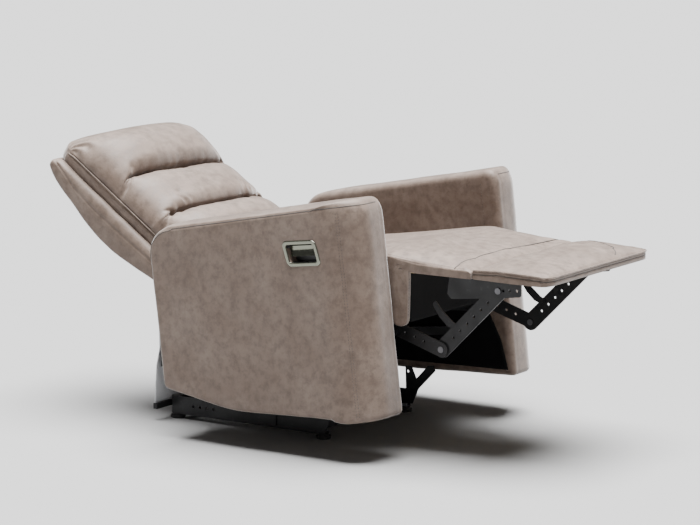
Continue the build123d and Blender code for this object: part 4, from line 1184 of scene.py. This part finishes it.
@dataclass
class Chaise:
    """The seat pad that runs on over the hinge line, and the crowned foot pad beyond it."""

    seam: float = 0.674
    crease: float = 0.7185
    layer: float = 0.0105  # foot pad's border line down to the line of the layer under it
    bow_height: float = 0.006  # how far the cross seam wanders forward and back
    bow_rate: float = 9.0
    corner_across: float = 0.034  # the foot pad's rounded corner, across and forward
    corner_ahead: float = 0.022
    border_height: float = 0.4955

    def __post_init__(self) -> None:
        """Reads widths and the hinge place from the frame."""
        self.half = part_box("seat_cushion")[1][0]
        self.foot_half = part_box("foot_pad")[1][0] + 0.003
        self.front = -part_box("foot_pad")[0][1]
        self.hinge = joint_place("footrest_fold")

    def seat_relief(self, points: Array) -> Array:
        """The cross seam, side line and soft hollows of the seat pad."""
        local = LEVEL.to_local(points)
        across, along, up = local[:, 0], local[:, 1], local[:, 2]
        line = self.pad.line_height(along)
        upper = smoothstep(0.0, 0.006, up - line)
        beyond = along - self.seam - self.bow_height * np.sin(across * self.bow_rate)
        seam = np.exp(-(beyond / 0.0030) ** 2)
        lips = np.exp(-(beyond / 0.013) ** 2)
        soft = noise_field(points, 0.13, 2.0) * 0.0032 + noise_field(points, 0.05, 7.0) * 0.0010
        ridges = ridge_field(across, np.abs(along - self.seam), 0.020, 5.0)
        near_seam = np.exp(-np.abs(along - self.seam) / 0.022)
        border = np.exp(-((up - line) / 0.0026) ** 2) * (np.abs(across) > self.half - 0.006)
        return (soft * upper - 0.0026 * seam * upper - 0.0014 * lips * upper
                + 0.0010 * ridges * near_seam * upper - 0.0018 * border)

    def foot_relief(self, points: Array) -> Array:
        """Curved seam, corner pulls and border line of the foot pad."""
        local = LEVEL.to_local(points)
        across, along, up = local[:, 0], local[:, 1], local[:, 2]
        line = self.foot.line_height(along)
        upper = smoothstep(0.0, 0.008, up - line)
        places = np.stack([across, along], axis=1)
        far_path = ((0.234, 0.770), (0.205, 0.818), (0.170, 0.866), (0.125, 0.915), (0.086, 0.962))
        far = Groove(far_path, 0.0022, 0.0032)
        near = Groove(tuple((-side, ahead) for side, ahead in far_path), 0.0008, 0.0050)
        soft = noise_field(points, 0.11, 5.0) * 0.0030 + noise_field(points, 0.045, 3.0) * 0.0010
        mirrored = np.stack([-np.abs(across), along], axis=1)
        pulls = fan_folds(mirrored, (-self.foot_half, self.front), 0.055, 6.0, 0.0014)
        edge = np.maximum(smoothstep(self.foot_half - 0.007, self.foot_half - 0.003, np.abs(across)),
                          smoothstep(self.front - 0.010, self.front - 0.004, along))
        border = np.exp(-((up - line) / 0.0026) ** 2) * edge
        lower = np.exp(-((up - line + self.layer) / 0.0024) ** 2) * edge
        folds = far.depth_at(places) + near.depth_at(places)
        return (soft + pulls - folds) * upper - 0.0018 * border - 0.0016 * lower

    def finish(self) -> None:
        """Builds both pads with their sewn lines."""
        self.pad = LongPad(
            "seat_chaise_pad", self.half,
            ((0.020, 0.440), (0.060, 0.456), (0.138, 0.472), (0.241, 0.489), (0.407, 0.513),
             (0.490, 0.527), (0.552, 0.525), (0.610, 0.518), (0.678, 0.510), (self.crease - 0.008, 0.505),
             (self.crease, 0.502)),
            ((0.020, 0.424), (0.138, 0.455), (0.407, 0.499), (0.479, 0.513), (0.520, 0.506), (0.565, 0.500),
             (0.666, 0.496), (self.crease, 0.4955)),
            ((self.crease, 0.4745), (0.560, 0.4745), (0.530, 0.478), (0.509, 0.486), (0.500, 0.470),
             (0.499, 0.426), (0.300, 0.400), (0.025, 0.365)),
            self.seat_relief, cap=0.005)
        seat = self.pad.build()
        FINISHES.dress(seat, Slot.COVER)
        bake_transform(seat)
        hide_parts("seat_cushion", "knee_pad", "calf_pad")
        self.foot = LongPad(
            "foot_pad_cushion", self.foot_half,
            ((self.crease + 0.002, 0.500), (0.745, 0.512), (0.779, 0.519), (0.829, 0.5205), (0.880, 0.517),
             (0.912, 0.5115), (self.front, 0.503)),
            ((self.crease + 0.002, 0.497), (0.796, 0.500), (0.881, 0.498), (self.front, 0.4955)),
            ((self.front, 0.4735), (0.900, 0.4725), (0.830, 0.4725), (self.crease + 0.002, 0.4745)),
            self.foot_relief, round_front=self.corner_ahead, power=2.3, cap=0.005)
        foot = self.foot.build()
        settle(foot, "footrest", Slot.COVER, "foot_pad")
        self.lines(seat, foot)

    def lines(self, seat: bpy.types.Object, foot: bpy.types.Object) -> None:
        """Sewn border lines, and thin dark lines of painted shade along the layer line and the cross seams."""
        side = np.linspace(self.crease + 0.004, self.front - self.corner_ahead - 0.002, 40)
        edge = -self.foot_half - 0.0008
        heights = self.foot.line_height(side)
        right = [(edge, along, float(up)) for along, up in zip(side, heights)]
        turn = self.front - self.corner_ahead
        corner = [(edge + self.corner_across * (1 - math.cos(angle)),
                   turn + (self.corner_ahead + 0.0008) * math.sin(angle), self.border_height + 0.0002)
                  for angle in np.linspace(0.1, math.pi / 2, 12)]
        front = [(across, self.front + 0.0008, self.border_height)
                 for across in np.linspace(-self.foot_half + 0.040, 0.0, 22)]
        half_path = np.array(right + corner + front)
        other = half_path[::-1][1:] * np.array([-1.0, 1.0, 1.0])
        border = np.vstack([half_path, other])
        bead("foot_pad_piping", LEVEL.to_world(border), 0.0016, "footrest")
        lower = LEVEL.to_world(border - np.array([0.0, 0.0, self.layer]))
        # Dark line of painted shade in the groove of the layer line under the border.
        bead("foot_pad_layer_shade_line", on_surface(foot, lower, 0.0002), 0.0009, "footrest", dark=True)
        curve = np.array([(0.234, 0.772), (0.222, 0.793), (0.205, 0.818), (0.188, 0.843), (0.170, 0.866),
                          (0.148, 0.892), (0.125, 0.915), (0.100, 0.932)])
        fine = np.linspace(0, len(curve) - 1, 60)
        seam = np.stack([np.interp(fine, range(len(curve)), curve[:, axis]) for axis in (0, 1)], axis=1)
        path = LEVEL.to_world(np.column_stack([seam, np.full(len(seam), 0.52)]))
        # Dark line of painted shade along the foot pad's curved seam.
        bead("foot_pad_seam_shade", on_surface(foot, path, 0.0003), 0.0012, "footrest", dark=True)
        across = np.linspace(-self.half + 0.002, self.half - 0.002, 120)
        bowed = self.seam + self.bow_height * np.sin(across * self.bow_rate)
        heights = 0.512 - 0.013 * (np.abs(across) / self.half) ** 6
        line = np.column_stack([across, bowed, heights])
        path = on_surface(seat, LEVEL.to_world(line), 0.0003)
        # Dark line of painted shade along the seat pad's cross seam.
        bead("chaise_cross_seam_shade", path, 0.0012, "footrest", dark=True)


# ------------------------------------------------------------------ linings and panels
@dataclass(frozen=True)
class Panel:
    """A sheet of cloth with thickness, creased a little, given by a patch of points."""

    name: str
    body: str | None  # none when the sheet rides on no body
    slot: Slot
    held: str
    rests_on: tuple[str, ...]
    replaced: tuple[str, ...]
    crease: float = 0.002
    crease_size: float = 0.06
    thick: float = 0.0016

    def build(self, patch: Callable[[float, float], tuple[float, float, float]], bench: Bench,
              counts: tuple[int, int], seed: float) -> bpy.types.Object:
        """The sheet over a patch.

        Args:
            patch: local place of each (s, t) from 0 to 1.
            bench: the patch's frame.
            counts: rows of points each way.
            seed: which creases.

        Returns:
            The finished piece.
        """
        grid = [[patch(s, t) for t in np.linspace(0, 1, counts[1])] for s in np.linspace(0, 1, counts[0])]
        local = np.array(grid)
        world = bench.to_world(local.reshape(-1, 3))
        faces = []
        for row in range(counts[0] - 1):
            for column in range(counts[1] - 1):
                first = row * counts[1] + column
                faces.append((first, first + 1, first + counts[1] + 1, first + counts[1]))
        piece = add_object(self.name, world, faces)
        push(piece, lambda points: self.crease * noise_field(points, self.crease_size, seed))
        use_modifier(piece, "SOLIDIFY", thickness=self.thick, offset=0.0)
        if self.body:
            settle(piece, self.body, self.slot, *self.replaced)
        else:
            FINISHES.dress(piece, self.slot)
        list(self.rests_on)
        return piece


@dataclass
class Linings:
    """The cloth that closes the chair's inside: front, sides, underneath, rear and behind the seat."""

    def front(self) -> None:
        """Black cloth over the front of the seat box."""
        low, high = (np.array(corner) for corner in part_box("front_panel"))
        forward = -float(low[1])

        def patch(s: float, t: float) -> tuple[float, float, float]:
            """Nearly flat, with a slight ripple."""
            ahead = forward - 0.0012 + 0.0012 * math.sin(9 * s + 5 * t)
            return low[0] + (high[0] - low[0]) * s, ahead, low[2] + (high[2] - low[2]) * t

        Panel("seat_front_cloth", "seat_unit", Slot.BLACK_CLOTH, "stretched", ("seat_front_rail",),
              ("front_panel",), 0.0014).build(patch, LEVEL, (60, 20), 3.0)

    def arm_side(self, side: int) -> None:
        """Black cloth low on the inner face of an arm."""
        low, high = BODY.node_box("arm_linings")
        across = side * (abs(low[0]) - 0.0036)
        rear, front = low[1], high[1]

        def patch(s: float, t: float) -> tuple[float, float, float]:
            """Bottom edge rises to the rear; the front edge slopes back as it rises."""
            bottom = np.interp(s, (0.0, 0.25, 1.0), (0.010, -0.036, -0.082))
            top = 0.112
            up = bottom + (top - bottom) * t
            edge = front - np.interp(up, (-0.08, 0.0, 0.09, 0.112), (0.0, 0.012, 0.046, 0.092))
            return across, rear + (edge - rear) * s, up

        hand = "right" if side < 0 else "left"
        replaced = ("arm_linings",) if side < 0 else ()
        Panel(f"arm_side_cloth_{hand}", "chair_body", Slot.BLACK_CLOTH, "stretched", (f"arm_cover_{hand}",),
              replaced, 0.0009).build(patch, BODY, (64, 20), 5.0 + side)

    def under_seat(self) -> None:
        """Dust cloth under the seat springs, which sags a little."""
        low, high = BODY.node_box("seat_lining")

        def patch(s: float, t: float) -> tuple[float, float, float]:
            """Level at its edges and lowest in the middle."""
            sag = 0.010 * math.sin(math.pi * s) * math.sin(math.pi * t)
            return low[0] + (high[0] - low[0]) * s, low[1] + (high[1] - low[1]) * t, high[2] - 0.0015 - sag

        Panel("seat_dust_cloth", "seat_unit", Slot.BLACK_CLOTH, "hung", ("seat_box_rails",),
              ("seat_lining",), 0.0012).build(patch, BODY, (40, 40), 6.0)

    def rear(self) -> None:
        """Pale backing cloth that hangs behind the seat to its hem rail."""
        low, high = (np.array(corner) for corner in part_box("rear_skirt"))
        profile = ((0.048, 0.259), (0.060, 0.259), (0.150, 0.255), (0.200, 0.243), (0.322, 0.243))
        heights, forwards = [row[0] for row in profile], [-row[1] for row in profile]

        def patch(s: float, t: float) -> tuple[float, float, float]:
            """Hangs in shallow folds, flat at its edges."""
            up = low[2] + 0.0005 + (high[2] - low[2] - 0.001) * t
            fold = 0.0025 * math.sin(math.pi * t) * math.sin(23 * s + 4 * t)
            return low[0] + (high[0] - low[0]) * s, float(np.interp(up, heights, forwards)) + fold, up

        Panel("rear_backing_cloth", "chair_body", Slot.PALE_CLOTH, "hung", ("skirt_rail",), ("rear_skirt",),
              0.0012).build(patch, LEVEL, (90, 40), 7.0)

    def gusset(self) -> None:
        """Black cloth that bridges the seat and the back, slack when the chair is upright."""
        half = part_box("seat_cushion")[1][0] - 0.012
        path = ((0.030, 0.400), (0.006, 0.392), (-0.030, 0.374), (-0.070, 0.372),
                (-0.105, 0.392), (-0.122, 0.418))
        runs = np.linspace(0, 1, len(path))
        forwards, heights = [row[0] for row in path], [row[1] for row in path]

        def patch(s: float, t: float) -> tuple[float, float, float]:
            """Dips between the seat's rear edge and the back's lower edge."""
            along, up = np.interp(t, runs, forwards), np.interp(t, runs, heights)
            return -half + 2 * half * s, float(along), float(up)

        piece = Panel("seat_back_gusset", None, Slot.BLACK_CLOTH, "gathered", ("seat_cushion",), (),
                      0.0016).build(patch, LEVEL, (60, 28), 8.0)
        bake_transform(piece)

    @staticmethod
    def wrap_relief(points: Array) -> Array:
        """Soft unevenness of a corner wrap's padding."""
        return 0.0012 * noise_field(points, 0.05, 2.0) + 0.0006 * noise_field(points, 0.02, 3.0)

    def wraps(self) -> None:
        """Padded cover wraps round the seat box's front corners."""
        low, high = (np.array(corner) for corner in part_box("front_wraps"))
        outer, front = high[0], -low[1]
        outline = rounded_outline([
            (front - 0.055, low[2] + 0.018, 0.012), (front - 0.030, low[2], 0.018),
            (front - 0.004, low[2] + 0.006, 0.022), (front, low[2] + 0.050, 0.020),
            (front + 0.0005, high[2] + 0.012, 0.004), (front - 0.055, high[2] + 0.012, 0.004)], 0.006)
        for side in (-1, 1):
            rings = []
            middle = outline.mean(0)
            places = [(outer, share) for share in (0.02, 0.15, 0.3, 0.45, 0.6, 0.75, 0.88, 0.95)]
            places += [(outer - 0.0035 * (1 - math.cos(angle)), 0.965 + 0.035 * math.sin(angle))
                       for angle in np.linspace(0, math.pi / 2, 5)]
            places += [(across, 1.0) for across in np.linspace(outer - 0.006, outer - 0.012, 4)]
            inner = outer - 0.0145
            places += [(inner + 0.001, 0.985), (inner, 0.95), (inner, 0.6), (inner, 0.2)]
            for across, shrink in places:
                ring = middle + (outline - middle) * shrink
                rings.append(np.column_stack([np.full(len(ring), side * across), ring]))
            local = np.array(rings)
            world = LEVEL.to_world(local.reshape(-1, 3)).reshape(local.shape)
            hand = "right" if side < 0 else "left"
            piece = loft(f"seat_corner_wrap_{hand}", world)
            push(piece, self.wrap_relief)
            settle(piece, "seat_unit", Slot.COVER, *(("front_wraps",) if side < 0 else ()))
            heights = np.linspace(low[2] + 0.03, high[2] - 0.004, 60)
            seam = np.array([(side * (outer - 0.006), front + 0.001, up) for up in heights])
            path = on_surface(piece, LEVEL.to_world(seam), 0.0001)
            stitches(f"seat_corner_stitches_{hand}", path, "seat_unit")

    def finish(self) -> None:
        """Builds every lining."""
        self.front()
        for side in (-1, 1):
            self.arm_side(side)
        self.under_seat()
        self.rear()
        self.gusset()
        self.wraps()


# ------------------------------------------------------------------ metalwork
def edit_mode(piece: bpy.types.Object, mode: str = "VERT") -> None:
    """Opens a piece for editing with everything selected."""
    select_only(piece)
    bpy.ops.object.mode_set(mode="EDIT")
    bpy.ops.mesh.select_mode(type=mode)
    bpy.ops.mesh.select_all(action="SELECT")


def object_mode() -> None:
    """Leaves editing."""
    bpy.ops.object.mode_set(mode="OBJECT")


@dataclass
class Latch:
    """The pull latch in the right arm: a rounded chrome rim and a curved chrome lever."""

    rim: float = 0.0105
    proud: float = 0.0050
    skew: float = 0.0065

    def __post_init__(self) -> None:
        """Reads the opening's place from the frame."""
        low, high = BODY.node_box("latch_cup")
        rim_low, rim_high = BODY.node_box("latch_bezel")
        self.face = rim_high[0]  # the arm's outer face
        self.middle = 0.5 * (low[1:] + high[1:])
        self.size = rim_high[1:] - rim_low[1:]

    def make_rim(self) -> None:
        """A flat rounded frame, extruded and rounded over."""
        bpy.ops.object.select_all(action="DESELECT")
        bpy.ops.mesh.primitive_plane_add(size=1.0)
        piece = bpy.context.active_object
        piece.name = "latch_rim"
        length, width = self.size[0] - 2 * self.skew, self.size[1]
        edit_mode(piece)
        bpy.ops.transform.resize(value=(length, width, 1.0), center_override=(0.0, 0.0, 0.0))
        bpy.ops.mesh.bevel(offset=0.0145, segments=8, affect="VERTICES")
        bpy.ops.mesh.select_all(action="SELECT")
        bpy.ops.mesh.select_mode(type="FACE")
        bpy.ops.mesh.select_all(action="SELECT")
        bpy.ops.mesh.inset(thickness=self.rim, depth=0.0)
        bpy.ops.mesh.delete(type="FACE")
        bpy.ops.mesh.select_all(action="SELECT")
        bpy.ops.mesh.extrude_region_move(TRANSFORM_OT_translate={"value": (0.0, 0.0, self.proud)})
        bpy.ops.mesh.select_all(action="SELECT")
        bpy.ops.mesh.normals_make_consistent(inside=False)
        object_mode()
        use_modifier(piece, "BEVEL", width=0.0032, segments=5, limit_method="ANGLE", angle_limit=0.9)
        self.place(piece)
        self.settle(piece, "chair_body", "latch_bezel")

    def place(self, piece: bpy.types.Object) -> None:
        """Carries a piece drawn flat at the origin to the arm's face."""
        flat = vertex_array(piece)
        along = self.middle[0] + flat[:, 0] - self.skew * flat[:, 1] / (0.5 * self.size[1])
        up = self.middle[1] + flat[:, 1]
        across = -abs(self.face) - flat[:, 2]
        set_vertices(piece, BODY.to_world(np.column_stack([across, along, up])))
        work = bmesh.new()
        work.from_mesh(piece.data)
        bmesh.ops.remove_doubles(work, verts=work.verts, dist=1e-6)
        bmesh.ops.recalc_face_normals(work, faces=work.faces)
        work.to_mesh(piece.data)
        work.free()
        piece.data.shade_smooth()

    def settle(self, piece: bpy.types.Object, body: str, node: str) -> None:
        """Dresses a chrome piece."""
        settle(piece, body, Slot.CHROME, node)

    def make_lever(self) -> None:
        """A dished plate that hangs from its barrel."""
        low, high = BODY.node_box("latch_lever")
        length, width = high[1] - low[1] - 0.008, high[2] - low[2]
        bpy.ops.object.select_all(action="DESELECT")
        bpy.ops.mesh.primitive_cube_add(size=1.0)
        piece = bpy.context.active_object
        piece.name = "latch_pull_lever"
        edit_mode(piece)
        bpy.ops.transform.resize(value=(length, width, 0.0032), center_override=(0.0, 0.0, 0.0))
        bpy.ops.mesh.subdivide(number_cuts=9)
        object_mode()
        points = vertex_array(piece)
        across_share, up_share = points[:, 0] / (0.5 * length), points[:, 1] / (0.5 * width)
        points[:, 2] += 0.0042 * (up_share ** 2) - 0.0030 * up_share - 0.0012 * across_share ** 2
        points[:, 0] *= 1.0 - 0.05 * up_share ** 2
        set_vertices(piece, points)
        use_modifier(piece, "BEVEL", width=0.0010, segments=3, limit_method="ANGLE", angle_limit=0.8)
        use_modifier(piece, "SUBSURF", levels=1, render_levels=1)
        points = vertex_array(piece)
        middle = 0.5 * (low + high)
        points[:, 2] += abs(self.face) * -1.0 + abs(middle[0]) - 0.0005
        points[:, 1] += middle[2] - self.middle[1]
        points[:, 0] += middle[1] - self.middle[0]
        set_vertices(piece, points)
        self.place(piece)
        self.settle(piece, "latch_handle", "latch_lever")

    def finish(self) -> None:
        """Builds the latch."""
        self.make_rim()
        self.make_lever()


@dataclass
class ReturnSprings:
    """Open-coil tension springs under the seat."""

    wire: float = 0.0015
    coil: float = 0.0075
    turns: int = 40
    rear_hook: tuple[float, float] = (0.110, 0.286)  # forward, up
    front_hook: tuple[float, float] = (0.330, 0.314)
    loop: float = 0.008  # radius of each end hook

    def finish(self) -> None:
        """One spring on each side, with its hooks and posts."""
        rear, front = np.array(self.rear_hook), np.array(self.front_hook)
        for side in (-1, 1):
            hand = "right" if side < 0 else "left"
            steps = np.linspace(0.0, 1.0, self.turns * 10)
            along = np.linspace(0.14, 0.86, len(steps))[:, None]
            line = rear + (front - rear) * along
            direction = (front - rear) / np.linalg.norm(front - rear)
            normal = np.array((-direction[1], direction[0]))
            angle = steps * self.turns * 2 * math.pi
            middle = side * self.middle_across()
            coil = np.column_stack([middle + self.coil * np.cos(angle),
                                    line + self.coil * np.sin(angle)[:, None] * normal])
            ends = []
            for place, sign in ((rear, 1.0), (front, -1.0)):
                toward = direction * sign * self.loop
                hook = [place + toward * (1 - math.cos(turn)) + normal * self.loop * math.sin(turn)
                        for turn in np.linspace(-2.6, 2.6, 16)]
                ends.append(np.column_stack([np.full(16, middle), np.array(hook)]))
            first = np.vstack([ends[0], coil[:1] * np.array([0, 1, 1]) + np.array([middle, 0, 0])])
            path = np.vstack([first, coil, ends[1][::-1]])
            piece = tube_along(f"return_spring_{hand}", LEVEL.to_world(path), self.wire, 6)
            settle(piece, "seat_unit", Slot.SPRING_STEEL, *(("return_springs",) if side < 0 else ()))
            for label, place in (("rear", rear), ("front", front)):
                self.post(f"spring_post_{label}_{hand}", place, side)

    def middle_across(self) -> float:
        """Where the spring's line lies across the chair."""
        return LEVEL.node_box("side_plate_left")[0][0] - 0.010

    def post(self, name: str, place: Array, side: int) -> None:
        """A short stepped post that a spring hooks onto."""
        inner = side * self.middle_across()
        plate = side * LEVEL.node_box("side_plate_left")[0][0]
        bpy.ops.object.select_all(action="DESELECT")
        bpy.ops.mesh.primitive_cylinder_add(vertices=24, radius=0.004, depth=abs(plate - inner) + 0.004)
        piece = bpy.context.active_object
        piece.name = name
        edit_mode(piece, "FACE")
        bpy.ops.mesh.select_all(action="DESELECT")
        object_mode()
        for face in piece.data.polygons:
            face.select = abs(face.normal.z) > 0.9
        bpy.ops.object.mode_set(mode="EDIT")
        bpy.ops.mesh.inset(thickness=0.0008, depth=0.0006)
        object_mode()
        flat = vertex_array(piece)
        local = np.column_stack([0.5 * (inner + plate) - side * 0.001 + flat[:, 2], place[0] + flat[:, 0],
                                 place[1] + flat[:, 1]])
        set_vertices(piece, LEVEL.to_world(local))
        work = bmesh.new()
        work.from_mesh(piece.data)
        bmesh.ops.recalc_face_normals(work, faces=work.faces)
        work.to_mesh(piece.data)
        work.free()
        settle(piece, "seat_unit", Slot.ZINC_STEEL)


# ------------------------------------------------------------------ studio
@dataclass(frozen=True)
class Studio:
    """Pale floor, soft light and the camera."""

    bearing: float = -56.766  # camera's side, degrees from straight ahead of the chair
    height_angle: float = 9.471
    distance: float = 7.9719
    aim: tuple[float, float, float] = (0.0, -0.18685, 0.431)
    lens: float = 155.4
    floor_side: float = 60.0
    sun_strength: float = 20.0
    sun_spread: float = 50.0  # degrees
    sun_lean: tuple[float, float] = (1.0, 6.0)  # degrees
    sky_strength: float = 0.15

    def camera(self) -> None:
        """Places the camera and makes it the scene's own."""
        bearing, rise = math.radians(self.bearing), math.radians(self.height_angle)
        level = math.cos(rise)
        away = Vector((math.sin(bearing) * level, -math.cos(bearing) * level, math.sin(rise)))
        data = bpy.data.cameras.new("studio_camera")
        data.lens = self.lens
        data.sensor_width = 36.0
        data.clip_end = 100.0
        camera = bpy.data.objects.new("studio_camera", data)
        camera.location = Vector(self.aim) + away * self.distance
        camera.rotation_euler = away.to_track_quat("Z", "Y").to_euler()
        bpy.context.scene.collection.objects.link(camera)
        bpy.context.scene.camera = camera

    def floor(self) -> None:
        """A wide pale floor."""
        bpy.ops.object.select_all(action="DESELECT")
        bpy.ops.mesh.primitive_plane_add(size=self.floor_side, location=(0.0, 0.0, 0.0))
        plane = bpy.context.active_object
        plane.name = "studio_floor"
        shader = Shader("floor_paint")
        plane.data.materials.append(shader.finish(Base_Color=(0.28, 0.28, 0.28), Roughness=0.9))

    def light(self, name: str, place: tuple[float, float, float], size: float, power: float) -> None:
        """One square soft light aimed at the chair."""
        data = bpy.data.lights.new(name, "AREA")
        data.size = size
        data.energy = power
        lamp = bpy.data.objects.new(name, data)
        lamp.location = place
        lamp.rotation_euler = (Vector(place) - Vector(self.aim)).to_track_quat("Z", "Y").to_euler()
        bpy.context.scene.collection.objects.link(lamp)

    def sun(self) -> None:
        """One broad overhead light, a little to the front."""
        data = bpy.data.lights.new("overhead_light", "SUN")
        data.energy = self.sun_strength
        data.angle = math.radians(self.sun_spread)
        lamp = bpy.data.objects.new("overhead_light", data)
        lamp.rotation_euler = (math.radians(self.sun_lean[0]), math.radians(self.sun_lean[1]), 0.0)
        bpy.context.scene.collection.objects.link(lamp)

    def build(self) -> None:
        """Sets up the whole studio."""
        self.camera()
        self.floor()
        self.light("side_softbox", (-3.4, -2.6, 1.6), 2.2, 8.0)
        self.sun()
        world = bpy.data.worlds.new("studio_world")
        bpy.context.scene.world = world
        world.use_nodes = True
        background = world.node_tree.nodes["Background"]
        background.inputs["Color"].default_value = (1.0, 1.0, 1.0, 1.0)
        background.inputs["Strength"].default_value = self.sky_strength


def main() -> None:
    """Builds the chair's upholstery, its finishes and the studio."""
    logging.basicConfig(level=logging.INFO, format="%(name)s %(message)s")
    dress_frame()
    for side in (-1, 1):
        Arm(side).finish()
    Backrest().finish()
    Chaise().finish()
    Linings().finish()
    Latch().finish()
    ReturnSprings().finish()
    Studio().build()


if __name__ == "__main__":
    main()
